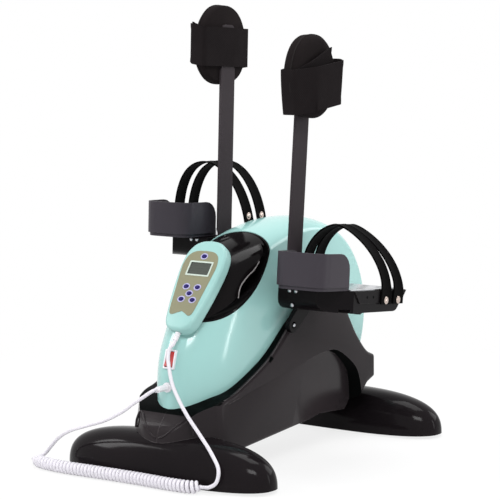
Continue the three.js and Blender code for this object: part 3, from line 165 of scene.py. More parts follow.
def new_piece(name, bm, material, body, smooth_angle=40.0):
    """A finished bmesh as a named piece that rides on a body."""
    bmesh.ops.recalc_face_normals(bm, faces=bm.faces)
    limit = math.radians(smooth_angle)
    for face in bm.faces:
        face.smooth = True
    for edge in bm.edges:
        edge.smooth = len(edge.link_faces) == 2 and edge.calc_face_angle(0.0) < limit
    mesh = bpy.data.meshes.new(name)
    bm.to_mesh(mesh)
    bm.free()
    mesh.materials.append(material)
    piece = bpy.data.objects.new(name, mesh)
    bpy.context.scene.collection.objects.link(piece)
    if body:
        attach(piece, body)
    return piece


def add_loft(bm, rings, loop=False):
    """Adds a skin over rings of equal length, capped at both ends or closed into a loop."""
    rows = [[bm.verts.new(point) for point in ring] for ring in rings]
    count = len(rows[0])
    for near, far in zip(rows, rows[1:] + rows[:1] if loop else rows[1:]):
        for i in range(count):
            j = (i + 1) % count
            bm.faces.new((near[i], near[j], far[j], far[i]))
    if not loop:
        bm.faces.new(rows[0][::-1])
        bm.faces.new(rows[-1])


def add_tube(bm, line, radius, sides):
    """A round tube along a line of points, on a frame that turns as little as it can."""
    way = (line[1] - line[0]).normalized()
    side = way.cross(Vector((0.3, 0.2, 1.0))).normalized()
    rings = []
    for i, point in enumerate(line):
        way = (line[min(i + 1, len(line) - 1)] - line[max(i - 1, 0)]).normalized()
        side = (side - way * side.dot(way)).normalized()
        up = way.cross(side)
        rings.append([point + side * a + up * b for a, b in oval(radius, radius, sides)])
    add_loft(bm, rings)


def add_turned(bm, matrix, profile, sides=24):
    """A turned shape: profile is (radius, height) pairs along the matrix's Z."""
    rings = []
    for radius, height in profile:
        ring = [Vector((*p, height)) for p in oval(max(radius, 1e-5), max(radius, 1e-5), sides)]
        rings.append([matrix @ p for p in ring])
    add_loft(bm, rings)


def facing(place, way):
    """A matrix at a place whose Z looks along a level way."""
    z = Vector(way).normalized()
    x = Vector((0, 0, 1)).cross(z)
    x.normalize()
    y = z.cross(x)
    return Matrix.Translation(Vector(place)) @ Matrix((x, y, z)).transposed().to_4x4()


def solid(bm):
    """A bmesh as a loose closed solid, to carve or to carve with."""
    bmesh.ops.recalc_face_normals(bm, faces=bm.faces)
    mesh = bpy.data.meshes.new("solid")
    bm.to_mesh(mesh)
    bm.free()
    made = bpy.data.objects.new("solid", mesh)
    bpy.context.scene.collection.objects.link(made)
    return made


def ring_solid(rings):
    """A loose closed solid over rings in metres."""
    bm = bmesh.new()
    add_loft(bm, rings)
    return solid(bm)


def loft_solid(rings):
    """A loose closed solid over rings in millimetres."""
    return ring_solid([[point * MM for point in ring] for ring in rings])


def prism(outline, axis, low, high):
    """A solid pushed along an axis from an outline in the other two, in millimetres."""
    rings = []
    for level in (low, high):
        rings.append([Vector((level, *p) if axis == "x" else (*p, level)) for p in outline])
    return loft_solid(rings)


def block(low, high):
    """A box between two corners, in millimetres."""
    base = [(low[0], low[1]), (high[0], low[1]), (high[0], high[1]), (low[0], high[1])]
    return prism(base, "z", low[2], high[2])


def cut(*tools):
    """Carving steps that take each tool away."""
    return [("DIFFERENCE", tool) for tool in tools]


def carved(body, steps):
    """The body after each (operation, tool) step; the tools are used up."""
    for operation, tool in steps:
        step = body.modifiers.new("carve", "BOOLEAN")
        step.operation, step.object, step.solver = operation, tool, "MANIFOLD"
    graph = bpy.context.evaluated_depsgraph_get()
    mesh = bpy.data.meshes.new_from_object(body.evaluated_get(graph))
    for used in [body] + [tool for _, tool in steps]:
        bpy.data.objects.remove(used)
    made = bpy.data.objects.new("solid", mesh)
    bpy.context.scene.collection.objects.link(made)
    return made


def finished(made, name, node, angle, edge, band=None):
    """A carved solid as the finished piece that stands for a node; band picks its faces painted near-black as
    shade.
    """
    bm = bmesh.new()
    bm.from_mesh(made.data)
    bpy.data.objects.remove(made)
    bmesh.ops.remove_doubles(bm, verts=bm.verts, dist=2e-6)
    bmesh.ops.dissolve_degenerate(bm, edges=bm.edges, dist=1e-6)
    for face in bm.faces:
        if band and band(face.calc_center_median() / MM, face.normal):
            face.material_index = 1
    piece = new_piece(name, bm, FINISH_OF[node], body_of_node(node), angle)
    # The second slot holds the near-black painted shade of the lip and arch wall.
    if band:
        piece.data.materials.append(PAINTED_SHADE_BLACK)
    if edge:
        soften(piece, edge, angle)
    stand_for(piece, node)


def stand_for(piece, node):
    """The piece takes the place of a CAD node, which is hidden."""
    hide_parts(node)


def soften(piece, edge, angle):
    """Rounds the sharp edges, in metres."""
    bevel = piece.modifiers.new("softened_edges", "BEVEL")
    bevel.width = edge
    bevel.segments = 2
    bevel.limit_method = "ANGLE"
    bevel.angle_limit = math.radians(angle)
    bevel.harden_normals = True
    bevel.use_clamp_overlap = True


# Shared surface effects, each a node group


def paint(*rgb):
    """A colour written as it looks on screen, 0 to 255, as the shader's linear colour."""
    line = [(v / 255) / 12.92 if v <= 10 else ((v / 255 + 0.055) / 1.055) ** 2.4 for v in rgb]
    return (*line, 1.0)


def effect_group(name, inputs, outputs):
    """An empty node group with named number or colour sockets."""
    group = bpy.data.node_groups.new(name, "ShaderNodeTree")
    for label, kind, value in inputs:
        socket = group.interface.new_socket(label, in_out="INPUT", socket_type=f"NodeSocket{kind}")
        if value is not None:
            socket.default_value = value
    for label, kind in outputs:
        group.interface.new_socket(label, in_out="OUTPUT", socket_type=f"NodeSocket{kind}")
    start = group.nodes.new("NodeGroupInput")
    end = group.nodes.new("NodeGroupOutput")
    return group, start, end


class Wiring:
    """Short ways to add and join nodes of one tree."""

    def __init__(self, tree):
        self.tree = tree

    def node(self, kind, links=(), **settings):
        made = self.tree.nodes.new(kind)
        for key, value in settings.items():
            setattr(made, key, value)
        for label, source in dict(links).items():
            socket = made.inputs[label]
            if isinstance(source, bpy.types.NodeSocket):
                self.tree.links.new(source, socket)
            else:
                socket.default_value = source
        return made

    def math(self, operation, a, b=0.0, clamp=False):
        return self.node("ShaderNodeMath", {0: a, 1: b}, operation=operation, use_clamp=clamp).outputs[0]

    def noise(self, vector, scale, detail=3.0, rough=0.5):
        links = {"Vector": vector, "Scale": scale, "Detail": detail, "Roughness": rough}
        return self.node("ShaderNodeTexNoise", links).outputs["Fac"]

    def spread(self, value, low, high, to_low=0.0, to_high=1.0):
        links = {"Value": value, "From Min": low, "From Max": high, "To Min": to_low, "To Max": to_high}
        return self.node("ShaderNodeMapRange", links).outputs["Result"]

    def mixed(self, factor, a, b):
        made = self.tree.nodes.new("ShaderNodeMix")
        made.data_type = "RGBA"
        for socket, source in ((made.inputs[0], factor), (made.inputs[6], a), (made.inputs[7], b)):
            if isinstance(source, bpy.types.NodeSocket):
                self.tree.links.new(source, socket)
            else:
                socket.default_value = source
        return made.outputs[2]


def moulding_group():
    """Moulded plastic: a soft change of tone, fine grain for the bump, and handling marks in the gloss."""
    group, start, end = effect_group(
        "moulded_surface",
        [("Base", "Color", None), ("Tone", "Color", None), ("Grain Scale", "Float", 900.0),
         ("Roughness", "Float", 0.3), ("Marks", "Float", 0.05)],
        [("Color", "Color"), ("Roughness", "Float"), ("Height", "Float")],
    )
    w = Wiring(group)
    where = w.node("ShaderNodeTexCoord").outputs["Object"]
    broad = w.spread(w.noise(where, 5.0, 2.0), 0.35, 0.7)
    color = w.mixed(broad, start.outputs["Base"], start.outputs["Tone"])
    marks = w.spread(w.noise(where, 38.0, 6.0, 0.7), 0.42, 0.75)
    rough = w.math("ADD", start.outputs["Roughness"], w.math("MULTIPLY", marks, start.outputs["Marks"]))
    grain = w.noise(where, start.outputs["Grain Scale"], 2.0)
    w.tree.links.new(color, end.inputs["Color"])
    w.tree.links.new(rough, end.inputs["Roughness"])
    w.tree.links.new(grain, end.inputs["Height"])
    return group


def edge_wear_and_highlight_group():
    """Where an edge is sharp, for rubbed wear and for a painted highlight: the rounded normal leaves the true
    one.
    """
    group, start, end = effect_group(
        "rubbed_edges", [("Reach", "Float", 0.0015), ("Strength", "Float", 1.0)], [("Mask", "Float")]
    )
    w = Wiring(group)
    soft = w.node("ShaderNodeBevel", {"Radius": start.outputs["Reach"]}, samples=4).outputs["Normal"]
    true = w.node("ShaderNodeNewGeometry").outputs["Normal"]
    dot = w.node("ShaderNodeVectorMath", {0: soft, 1: true}, operation="DOT_PRODUCT").outputs["Value"]
    lost = w.math("SUBTRACT", 1.0, dot)
    where = w.node("ShaderNodeTexCoord").outputs["Object"]
    broken = w.spread(w.noise(where, 160.0, 4.0, 0.6), 0.35, 0.65)
    mask = w.math("MULTIPLY", w.spread(lost, 0.02, 0.25), broken)
    w.tree.links.new(w.math("MULTIPLY", mask, start.outputs["Strength"], clamp=True), end.inputs["Mask"])
    return group


def weave_group():
    """Two threads crossing: a height for the bump and a mask for the colour."""
    group, start, end = effect_group(
        "woven_threads",
        [("Threads", "Float", 900.0)],
        [("Height", "Float"), ("Mask", "Float")],
    )
    w = Wiring(group)
    where = w.node("ShaderNodeTexCoord").outputs["Object"]
    x, y, z = w.node("ShaderNodeSeparateXYZ", {0: where}).outputs
    flat = w.math("ADD", x, w.math("MULTIPLY", y, 0.83))
    warp = w.math("SINE", w.math("MULTIPLY", flat, start.outputs["Threads"]))
    weft = w.math("SINE", w.math("MULTIPLY", z, start.outputs["Threads"]))
    cross = w.math("MULTIPLY", warp, weft)
    fuzz = w.noise(where, 2600.0, 3.0, 0.7)
    height = w.math("ADD", w.math("MULTIPLY", cross, 0.35), fuzz)
    w.tree.links.new(height, end.inputs["Height"])
    w.tree.links.new(w.spread(cross, -1.0, 1.0), end.inputs["Mask"])
    return group


def brushed_group():
    """Fine lines drawn along X, for metal."""
    group, start, end = effect_group(
        "brushed_lines", [("Scale", "Float", 60.0), ("Roughness", "Float", 0.3)],
        [("Roughness", "Float"), ("Height", "Float")],
    )
    w = Wiring(group)
    where = w.node("ShaderNodeTexCoord").outputs["Object"]
    drawn = w.node("ShaderNodeMapping", {"Vector": where, "Scale": (1.0, 24.0, 24.0)}).outputs[0]
    lines = w.noise(drawn, start.outputs["Scale"], 4.0, 0.6)
    rough = w.math("ADD", start.outputs["Roughness"], w.spread(lines, 0.3, 0.7, -0.08, 0.1))
    w.tree.links.new(rough, end.inputs["Roughness"])
    w.tree.links.new(lines, end.inputs["Height"])
    return group


def dust_group():
    """A thin film of dust on what faces up."""
    group, start, end = effect_group("settled_dust", [("Amount", "Float", 0.1)], [("Mask", "Float")])
    w = Wiring(group)
    normal = w.node("ShaderNodeNewGeometry").outputs["Normal"]
    up = w.spread(w.node("ShaderNodeSeparateXYZ", {0: normal}).outputs["Z"], 0.3, 1.0)
    where = w.node("ShaderNodeTexCoord").outputs["Object"]
    patches = w.spread(w.noise(where, 24.0, 5.0, 0.65), 0.3, 0.7)
    mask = w.math("MULTIPLY", w.math("MULTIPLY", up, patches), start.outputs["Amount"])
    w.tree.links.new(mask, end.inputs["Mask"])
    return group


MOULDING = moulding_group()
EDGE_WEAR_AND_HIGHLIGHT = edge_wear_and_highlight_group()
WEAVE = weave_group()
BRUSHED = brushed_group()
DUST = dust_group()


def blank_material(name, **settings):
    """A material with a Principled shader; settings are its plain sockets."""
    material = bpy.data.materials.new(name)
    material.use_nodes = True
    shader = material.node_tree.nodes["Principled BSDF"]
    for key, value in settings.items():
        shader.inputs[key.replace("_", " ")].default_value = value
    material.diffuse_color = shader.inputs["Base Color"].default_value
    return material, Wiring(material.node_tree), shader


def use_group(w, group, **values):
    made = w.node("ShaderNodeGroup", node_tree=group)
    for key, value in values.items():
        socket = made.inputs[key.replace("_", " ")]
        if isinstance(value, bpy.types.NodeSocket):
            w.tree.links.new(value, socket)
        else:
            socket.default_value = value
    return made.outputs


def bump(w, shader, height, distance):
    made = w.node("ShaderNodeBump", {"Height": height, "Distance": distance})
    w.tree.links.new(made.outputs[0], shader.inputs["Normal"])


def plastic(name, base, tone, rough, edge, grain=900.0, grain_depth=0.00002, marks=0.06, dust=0.04,
            **settings):
    """Moulded plastic or paint: tone, grain, a paler colour on sharp edges for wear and, on the side covers,
    a painted highlight, and a little dust.
    """
    material, w, shader = blank_material(name, Base_Color=base, Roughness=rough, **settings)
    surface = use_group(w, MOULDING, Base=base, Tone=tone, Grain_Scale=grain, Roughness=rough, Marks=marks)
    wear_and_highlight_mask = use_group(w, EDGE_WEAR_AND_HIGHLIGHT, Reach=0.0012, Strength=0.55)["Mask"]
    color = w.mixed(wear_and_highlight_mask, surface["Color"], edge)
    film = use_group(w, DUST, Amount=dust)["Mask"]
    color = w.mixed(film, color, paint(196, 192, 186))
    w.tree.links.new(color, shader.inputs["Base Color"])
    w.tree.links.new(surface["Roughness"], shader.inputs["Roughness"])
    bump(w, shader, surface["Height"], grain_depth)
    return material


def metal(name, base, rough):
    """Bare metal with fine drawn lines."""
    material, w, shader = blank_material(name, Base_Color=base, Metallic=1.0, Roughness=rough)
    lines = use_group(w, BRUSHED, Roughness=rough)
    tint = w.spread(lines["Height"], 0.3, 0.7, 0.0, 0.25)
    w.tree.links.new(w.mixed(tint, base, paint(96, 98, 102)), shader.inputs["Base Color"])
    w.tree.links.new(lines["Roughness"], shader.inputs["Roughness"])
    bump(w, shader, lines["Height"], 0.00001)
    return material


def cloth(name, base, raised, threads, rough=0.9, depth=0.00012, **settings):
    """Woven cloth with paler raised threads and faded patches."""
    material, w, shader = blank_material(name, Base_Color=base, Roughness=rough, **settings)
    threads_out = use_group(w, WEAVE, Threads=threads)
    color = w.mixed(w.math("MULTIPLY", threads_out["Mask"], 0.6), base, raised)
    where = w.node("ShaderNodeTexCoord").outputs["Object"]
    faded = w.spread(w.noise(where, 14.0, 4.0), 0.45, 0.75, 0.0, 0.35)
    color = w.mixed(faded, color, raised)
    w.tree.links.new(color, shader.inputs["Base Color"])
    bump(w, shader, threads_out["Height"], depth)
    return material


# Materials: the colour, its second tone, the gloss, and the colour of a rubbed edge, which on the side covers
# is a painted highlight

MINT = plastic(
    "mint_plastic", paint(153, 198, 194), paint(147, 192, 188), 0.14, paint(190, 222, 218),
    dust=0.01, Specular_IOR_Level=0.36, Coat_Weight=0.15, Coat_Roughness=0.05)
# A darker copy of the mint plastic: painted shade, because the handset faces up into the lamps.
HAND_MINT_SHADED = plastic(
    "hand_control_plastic", paint(146, 188, 184), paint(140, 182, 178), 0.34, paint(184, 216, 213),
    dust=0.0, grain_depth=0.00004, Specular_IOR_Level=0.3)
GLOSS_BLACK = plastic(
    "gloss_black_plastic", paint(26, 22, 24), paint(21, 18, 20), 0.09, paint(60, 56, 58),
    dust=0.0, Specular_IOR_Level=0.06)
# The side covers' pale edge colour is a painted highlight along their sharp edges.
COVER_BLACK = plastic(
    "side_cover_plastic", paint(42, 37, 39), paint(36, 32, 34), 0.16, paint(128, 122, 124),
    dust=0.0, Specular_IOR_Level=0.1)
# Near-black painted shade: a side cover's lip and arch wall, the sheet seen through the tread plates' holes,
# and the flange holes.
PAINTED_SHADE_BLACK = plastic(
    "cover_lip_plastic", paint(4, 6, 6), paint(3, 4, 4), 0.4, paint(10, 12, 12),
    dust=0.0, Specular_IOR_Level=0.02)
PIANO_BLACK = plastic(
    "handle_plastic", paint(14, 11, 12), paint(10, 9, 10), 0.09, paint(50, 48, 49),
    dust=0.0, Specular_IOR_Level=0.08)
# Pale grey for the bead along the grip's rolled edge: a painted highlight.
PAINTED_HIGHLIGHT_GREY = plastic(
    "handle_edge_plastic", paint(128, 124, 124), paint(110, 106, 106), 0.2, paint(160, 156, 156),
    dust=0.0, Specular_IOR_Level=0.3)
FRAME_PALE = plastic(
    "display_frame_plastic", paint(188, 200, 190), paint(176, 188, 178), 0.4, paint(206, 214, 208),
    dust=0.0, Specular_IOR_Level=0.2)
CUP_GREY = plastic(
    "cup_plastic", paint(57, 53, 59), paint(50, 47, 53), 0.34, paint(90, 86, 92),
    dust=0.0, grain=650.0, grain_depth=0.00005, Specular_IOR_Level=0.13)
BLACK_PLASTIC = plastic(
    "black_plastic", paint(24, 23, 25), paint(20, 19, 21), 0.45, paint(66, 64, 66), Specular_IOR_Level=0.25)
BLACK_STEEL = plastic(
    "black_painted_steel", paint(15, 12, 14), paint(10, 8, 10), 0.3, paint(76, 72, 70),
    dust=0.0, grain=1400.0, grain_depth=0.00003, Specular_IOR_Level=0.08)
GREY_STEEL = plastic(
    "grey_painted_steel", paint(54, 49, 52), paint(49, 44, 47), 0.42, paint(96, 92, 96),
    grain=1400.0, grain_depth=0.00003, Specular_IOR_Level=0.05)
BLACK_RUBBER = plastic(
    "black_rubber", paint(16, 16, 16), paint(20, 20, 20), 0.7, paint(40, 40, 40),
    grain=420.0, grain_depth=0.0001, Specular_IOR_Level=0.12)
WHITE_PLASTIC = plastic(
    "white_plastic", paint(228, 226, 230), paint(220, 218, 223), 0.35, paint(244, 243, 244))
CORD_WHITE = plastic(
    "cord_sheath", paint(216, 213, 220), paint(208, 205, 212), 0.42, paint(234, 232, 237), marks=0.1)
RED_PLASTIC = plastic("switch_plastic", paint(176, 22, 22), paint(158, 16, 18), 0.24, paint(206, 70, 64))
LABEL = plastic(
    "label_film", paint(126, 124, 98), paint(118, 117, 93), 0.4, paint(140, 138, 114),
    dust=0.0, Specular_IOR_Level=0.25)
BUTTON_BLUE = plastic(
    "button_rubber", paint(26, 16, 92), paint(22, 13, 80), 0.45, paint(52, 44, 120),
    dust=0.0, Specular_IOR_Level=0.15)
LAVENDER = plastic(
    "button_ring_film", paint(168, 164, 204), paint(162, 158, 199), 0.4, paint(184, 181, 214), dust=0.0)
BRIGHT_STEEL = metal("bright_steel", paint(196, 198, 202), 0.28)
RIVET_STEEL = metal("rivet_steel", paint(212, 196, 186), 0.2)
MOTOR_STEEL = metal("motor_steel", paint(128, 128, 132), 0.42)
BRONZE = metal("bushing_bronze", paint(168, 130, 78), 0.35)
CLOTH = cloth("black_cloth", paint(20, 17, 18), paint(38, 34, 35), 1500.0, Specular_IOR_Level=0.04)
PAD_CLOTH = cloth(
    "pad_cloth", paint(21, 18, 19), paint(37, 32, 32), 2400.0, depth=0.00008, Specular_IOR_Level=0.04)
WEBBING = cloth(
    "webbing", paint(4, 4, 4), paint(11, 10, 10), 1900.0, rough=0.6, depth=0.0001, Specular_IOR_Level=0.02)
THREAD = cloth(
    "seam_thread", paint(22, 20, 20), paint(44, 40, 40), 3200.0, depth=0.00006, Specular_IOR_Level=0.1)


def display_material():
    """A liquid crystal window: grey-green, with faint rows of unlit segments."""
    base = paint(68, 72, 67)
    material, w, shader = blank_material(
        "display_window", Base_Color=base, Roughness=0.2, Specular_IOR_Level=0.2)
    where = w.node("ShaderNodeTexCoord").outputs["Object"]
    z = w.node("ShaderNodeSeparateXYZ", {0: where}).outputs["Z"]
    rows = w.spread(w.math("SINE", w.math("MULTIPLY", z, 1550.0)), 0.2, 0.9)
    cells = w.spread(w.noise(where, 420.0, 2.0), 0.42, 0.5)
    marks = w.math("MULTIPLY", w.math("MULTIPLY", rows, cells), 0.35)
    w.tree.links.new(w.mixed(marks, base, paint(52, 54, 52)), shader.inputs["Base Color"])
    bump(w, shader, w.noise(where, 700.0), 0.00001)
    return material


DISPLAY = display_material()

NODE_FINISH = {
    MINT: ["centre_shell"],
    HAND_MINT_SHADED: ["hand_shell"],
    GLOSS_BLACK: ["front_foot_cover", "rear_foot_cover"],
    COVER_BLACK: ["side_cover_left", "side_cover_right"],
    PIANO_BLACK: ["handle_bowl", "carry_handle"],
    GREY_STEEL: ["main_frame", "leg_bar_left", "leg_bar_right"],
    BLACK_RUBBER: ["drive_belt"] + [f"foot_pad_{e}_{h}" for e in ("front", "rear") for h in HANDS],
    CUP_GREY: ["heel_cup_left", "heel_cup_right"],
    BLACK_STEEL: ["pedal_frame_left", "pedal_frame_right", "crank_left", "crank_right"],
    BRIGHT_STEEL: ["tread_plate_left", "tread_plate_right", "spindle_left", "spindle_right", "crank_axle",
                   "bearing_left", "bearing_right", "motor_pulley"],
    BRONZE: ["pedal_bushing_left", "pedal_bushing_right"],
    BLACK_PLASTIC: ["driven_pulley", "power_inlet"],
    MOTOR_STEEL: ["gear_motor"],
    WHITE_PLASTIC: ["switch_bezel", "cord_socket", "hand_relief"],
    RED_PLASTIC: ["rocker_switch"],
    LABEL: ["hand_label"],
    DISPLAY: ["hand_display"],
    BUTTON_BLUE: [f"hand_button_{i}" for i in range(1, 7)],
}
FINISH_OF = {node: material for material, names in NODE_FINISH.items() for node in names}
for node, material in FINISH_OF.items():
    nodes[node].data.materials.clear()
    nodes[node].data.materials.append(material)
DRESSED_EDGE, DRESSED_ANGLE = 0.0006, 32.0


def body_of_node(node):
    return nodes[node].parent.name.split(":", 1)[1]


def dressed(node):
    """A CAD node's own shape with softened edges and smooth curves, in place of the plain node."""
    bm = bmesh.new()
    bm.from_mesh(nodes[node].data)
    bmesh.ops.remove_doubles(bm, verts=bm.verts, dist=1e-6)
    bmesh.ops.dissolve_limit(
        bm, angle_limit=math.radians(0.4), verts=bm.verts, edges=bm.edges, use_dissolve_boundaries=False
    )
    piece = new_piece(f"{node}_dressed", bm, FINISH_OF[node], body_of_node(node), DRESSED_ANGLE)
    soften(piece, DRESSED_EDGE, DRESSED_ANGLE)
    stand_for(piece, node)


REBUILT = {"front_foot_cover", "rear_foot_cover", "side_cover_left", "side_cover_right", "centre_shell",
           "handle_bowl", "carry_handle", "hand_shell", "hand_label"}
REBUILT |= {f"hand_button_{i}" for i in range(1, 7)}
for node in FINISH_OF:
    if node != "hand_display" and node not in REBUILT:
        dressed(node)


# Feet: half length, depth and height of the dome, its clearance, the rise of its tips and the wall

FOOT_HALF, FOOT_DEPTH, FOOT_HEIGHT, FOOT_LIFT, FOOT_RISE, FOOT_WALL = 200.0, 54.0, 74.0, 2.5, 3.0, 3.0
FOOT_TURN, FOOT_PLAN_POWER, FOOT_SIDE_POWER, FOOT_ARCH = 88.2, 2.6, 2.9, 2 / 2.3
FOOT_PLACE = 254.0


def superellipse(share, power):
    return (1 - min(abs(share), 1.0) ** power) ** (1 / power)


def foot_rings(centre, grow, along=56, around=36):
    """The long low dome of a foot, as arches across it from one tip to the other."""
    rings = []
    for i in range(along + 1):
        share = math.sin(math.radians((2 * i / along - 1) * FOOT_TURN))
        depth = FOOT_DEPTH * superellipse(share, FOOT_PLAN_POWER) + grow
        low = FOOT_LIFT + FOOT_RISE * abs(share) ** 4
        height = (FOOT_HEIGHT - low) * superellipse(share, FOOT_SIDE_POWER) + grow
        ring = []
        for j in range(around + 1):
            turn = math.pi * j / around
            side, rise = math.cos(turn), max(math.sin(turn), 0.0)
            reach = math.copysign(abs(side) ** FOOT_ARCH, side)
            x = share * (FOOT_HALF + grow)
            ring.append(Vector((x, centre + depth * reach, low + height * rise ** FOOT_ARCH)))
        rings.append(ring)
    return rings


def foot_cover(end, centre):
    """A moulded shell, open underneath."""
    bm = bmesh.new()
    skins = []
    for grow in (0, -FOOT_WALL):
        skins.append([[bm.verts.new(p * MM) for p in ring] for ring in foot_rings(centre, grow)])
    for rows, flip in zip(skins, (False, True)):
        for near, far in zip(rows, rows[1:]):
            for j in range(len(near) - 1):
                quad = (near[j], near[j + 1], far[j + 1], far[j])
                bm.faces.new(quad[::-1] if flip else quad)
        bm.faces.new(rows[0][::-1] if not flip else rows[0])
        bm.faces.new(rows[-1] if not flip else rows[-1][::-1])
    outer, inner = skins
    for j in (0, -1):
        for a, b, c, d in zip(outer, outer[1:], inner[1:], inner):
            bm.faces.new((a[j], b[j], c[j], d[j]))
    for i in (0, -1):
        bm.faces.new((outer[i][0], outer[i][-1], inner[i][-1], inner[i][0]))
    node = f"{end}_foot_cover"
    stand_for(new_piece(f"{node}_shell", bm, FINISH_OF[node], "base", 50), node)


foot_cover("front", -FOOT_PLACE)
foot_cover("rear", FOOT_PLACE)


# Housing: the mint shell between its black side covers, and the carry handle

# Places and sizes in millimetres; a SHARES list gives a curve as shares of the box it is drawn in
AXLE_Y, AXLE_Z = 43.6, 291.0
DISC_Y, DISC_Z, DISC_RADIUS = 70.0, 221.0, 172.0
TONGUE_Y, TONGUE_Z = -258.0, 107.0
SHELL_HALF, SHELL_WALL, SHELL_INSET = 64.0, 3.0, 22.0
NOSE_ROUND, NOSE_FROM, NOSE_FULL = 84.0, -80.0, -215.0
COVER_HALF, COVER_BASE, COVER_EDGE, COVER_TAPER = 90.0, 46.0, 7.0, 0.05
COVER_FRONT, COVER_REAR, HUB_ROUND = -289.0, 240.0, 42.0
ARCH_FRONT, ARCH_REAR, ARCH_TOP, ARCH_DEPTH, ARCH_WALL = -96.0, 177.0, 173.0, 23.0, 9.0
SHELL_SHARES = [(0.93, 1.0), (0.81, 0.985), (0.64, 0.945), (0.46, 0.872), (0.31, 0.762), (0.18, 0.618),
                (0.083, 0.46), (0.018, 0.3), (-0.004, 0.15), (0.0, 0.0)]
COVER_BASE_LINE = [(240, 107), (200, 93), (150, 53), (60, 61), (-289, 34)]
COVER_FRONT_SHARES = [(1.0, 0.064), (0.985, 0.124), (0.949, 0.181), (0.906, 0.227), (0.798, 0.28),
                      (0.677, 0.319), (0.423, 0.447), (0.251, 0.592), (0.135, 0.7), (0.122, 0.79)]
COVER_REAR_SHARES = [(0.32, 0.815), (0.51, 0.635), (0.646, 0.482), (0.813, 0.358), (0.94, 0.33), (1.0, 0.294)]
ARCH_SHARES = [(0.0, 0.58), (0.1, 0.72), (0.24, 0.86), (0.42, 0.965), (0.6, 1.0), (0.73, 0.975),
               (0.865, 0.81), (0.965, 0.6), (1.0, 0.32), (1.0, 0.1)]
NOSE_LENGTH, TAIL_LENGTH, TAIL_POWER, REAR_BEND, SHELL_BEND = 89.0, 30.0, 0.8, 20.0, 14.0
SHELL_BASE, COVER_WALL, TOP, BEYOND, SEAT = 62.0, 3.0, 420.0, 5.0, 0.3
NOSE_DRAWN_IN, INLET_ROOM = 0.15, ((-54.35, 180, 130.15), (-29.65, 260, 147.85))
HUB_BORE, SCOOP_HALF, SCOOP_DEEP, BOWL_WALL = 9.5, 113.0, 62.0, 3.0
GRIP_INSET, GRIP_THICK, GRIP_HIGHLIGHT_RADIUS, GRIP_ROOM = 1.2, 12.0, 1.1, (18.0, 14.0)


def spline(points, steps):
    return even_curve([Vector(p) for p in points], 0.0, steps)


def bend(y, z, radius, start, stop, steps):
    turns = [math.radians(start + (stop - start) * i / steps) for i in range(steps + 1)]
    return [Vector((y + radius * math.cos(t), z + radius * math.sin(t))) for t in turns]


def distinct(points):
    return [p for i, p in enumerate(points) if (p - points[i - 1]).length > 0.09]


def grown(points, distance):
    """A closed outline moved outwards by the same distance all round."""
    out = []
    for i, p in enumerate(points):
        before, after = p - points[i - 1], points[(i + 1) % len(points)] - p
        one, two = (Vector((way.y, -way.x)).normalized() for way in (before, after))
        normal = (one + two).normalized()
        out.append(p + normal * (distance / max(normal.dot(one), 0.5)))
    return out


def shell_outline():
    """The shell from the side, (y, z): a disc drawn out into a tongue at the nose."""
    length, height = DISC_Y - TONGUE_Y, DISC_Z + DISC_RADIUS - TONGUE_Z
    spine = [Vector((TONGUE_Y + a * length, TONGUE_Z + b * height)) for a, b in SHELL_SHARES]
    disc = bend(DISC_Y, DISC_Z, DISC_RADIUS, -75, 88, 56)
    return distinct(disc + spline([disc[-1]] + spine, 64)[1:] + [Vector((TONGUE_Y, COVER_BASE))])


def shell_body(grow, steps=9):
    """The shell's form, drawn in towards each side and further back at the nose."""
    outline = grown(shell_outline(), grow)
    rings = []
    for i in range(-steps, steps + 1):
        turn = math.radians(90 * i / steps)
        ring = []
        for p in grown(outline, -SHELL_INSET * (1 - math.cos(turn))):
            back = NOSE_ROUND * (1 - math.cos(turn)) * (1 - smoothstep(p.x, NOSE_FULL, NOSE_FROM))
            ring.append(Vector(((SHELL_HALF + grow) * math.sin(turn), p.x + back, p.y)))
        rings.append(ring)
    half, front, rear = SHELL_HALF + grow, TONGUE_Y - BEYOND, DISC_Y + DISC_RADIUS + grow
    plan = [(-half, front, 0), (half, front, 0), (half, rear, SHELL_BEND), (-half, rear, SHELL_BEND)]
    return carved(loft_solid(rings), [("INTERSECT", prism(rounded(plan, 8), "z", 0, TOP))])


def cover_outline():
    """The side covers from the side, (y, z)."""
    rise = AXLE_Z + HUB_ROUND - COVER_BASE
    front = [(AXLE_Y + a * (COVER_FRONT - AXLE_Y), COVER_BASE + b * rise) for a, b in COVER_FRONT_SHARES]
    rear = [(AXLE_Y + a * (COVER_REAR - AXLE_Y), COVER_BASE + b * rise) for a, b in COVER_REAR_SHARES]
    hub = bend(AXLE_Y, AXLE_Z, HUB_ROUND, 35, 165, 24)
    ends = (0, len(rear) - 1)
    rear_edge = rounded([(*p, 0 if i in ends else REAR_BEND) for i, p in enumerate(rear)], 8)
    line = [Vector(p) for p in COVER_BASE_LINE] + spline(front, 64) + hub[::-1] + rear_edge
    return distinct(line[::-1])


def plan_outline():
    """The covers seen from above: a round nose and a flatter tail."""
    nose = [(p.x * COVER_HALF, COVER_FRONT + NOSE_LENGTH * (1 + p.y)) for p in bend(0, 0, 1, 180, 360, 48)]
    tail = []
    for p in bend(0, 0, 1, 0, 180, 28)[1:-1]:
        tail.append((p.x * COVER_HALF, COVER_REAR - TAIL_LENGTH * (1 - abs(p.y) ** TAIL_POWER)))
    return distinct([Vector(p) for p in nose + tail])


def cover_body(grow, steps=5):
    """Both side covers as one form, with their outer edges rolled in."""
    outline = grown(cover_outline(), grow)
    rings = []
    for side, order in ((-1, range(steps, -1, -1)), (1, range(steps + 1))):
        for i in order:
            turn = math.radians(90 * i / steps)
            x = COVER_HALF + grow - COVER_EDGE * (1 - math.sin(turn))
            rings.append([Vector((side * (x - COVER_TAPER * (p.y - COVER_BASE)), p.x, p.y))
                          for p in grown(outline, -COVER_EDGE * (1 - math.cos(turn)))])
    plan = grown(plan_outline(), grow)
    return carved(loft_solid(rings), [("INTERSECT", prism(plan, "z", 0, TOP))])


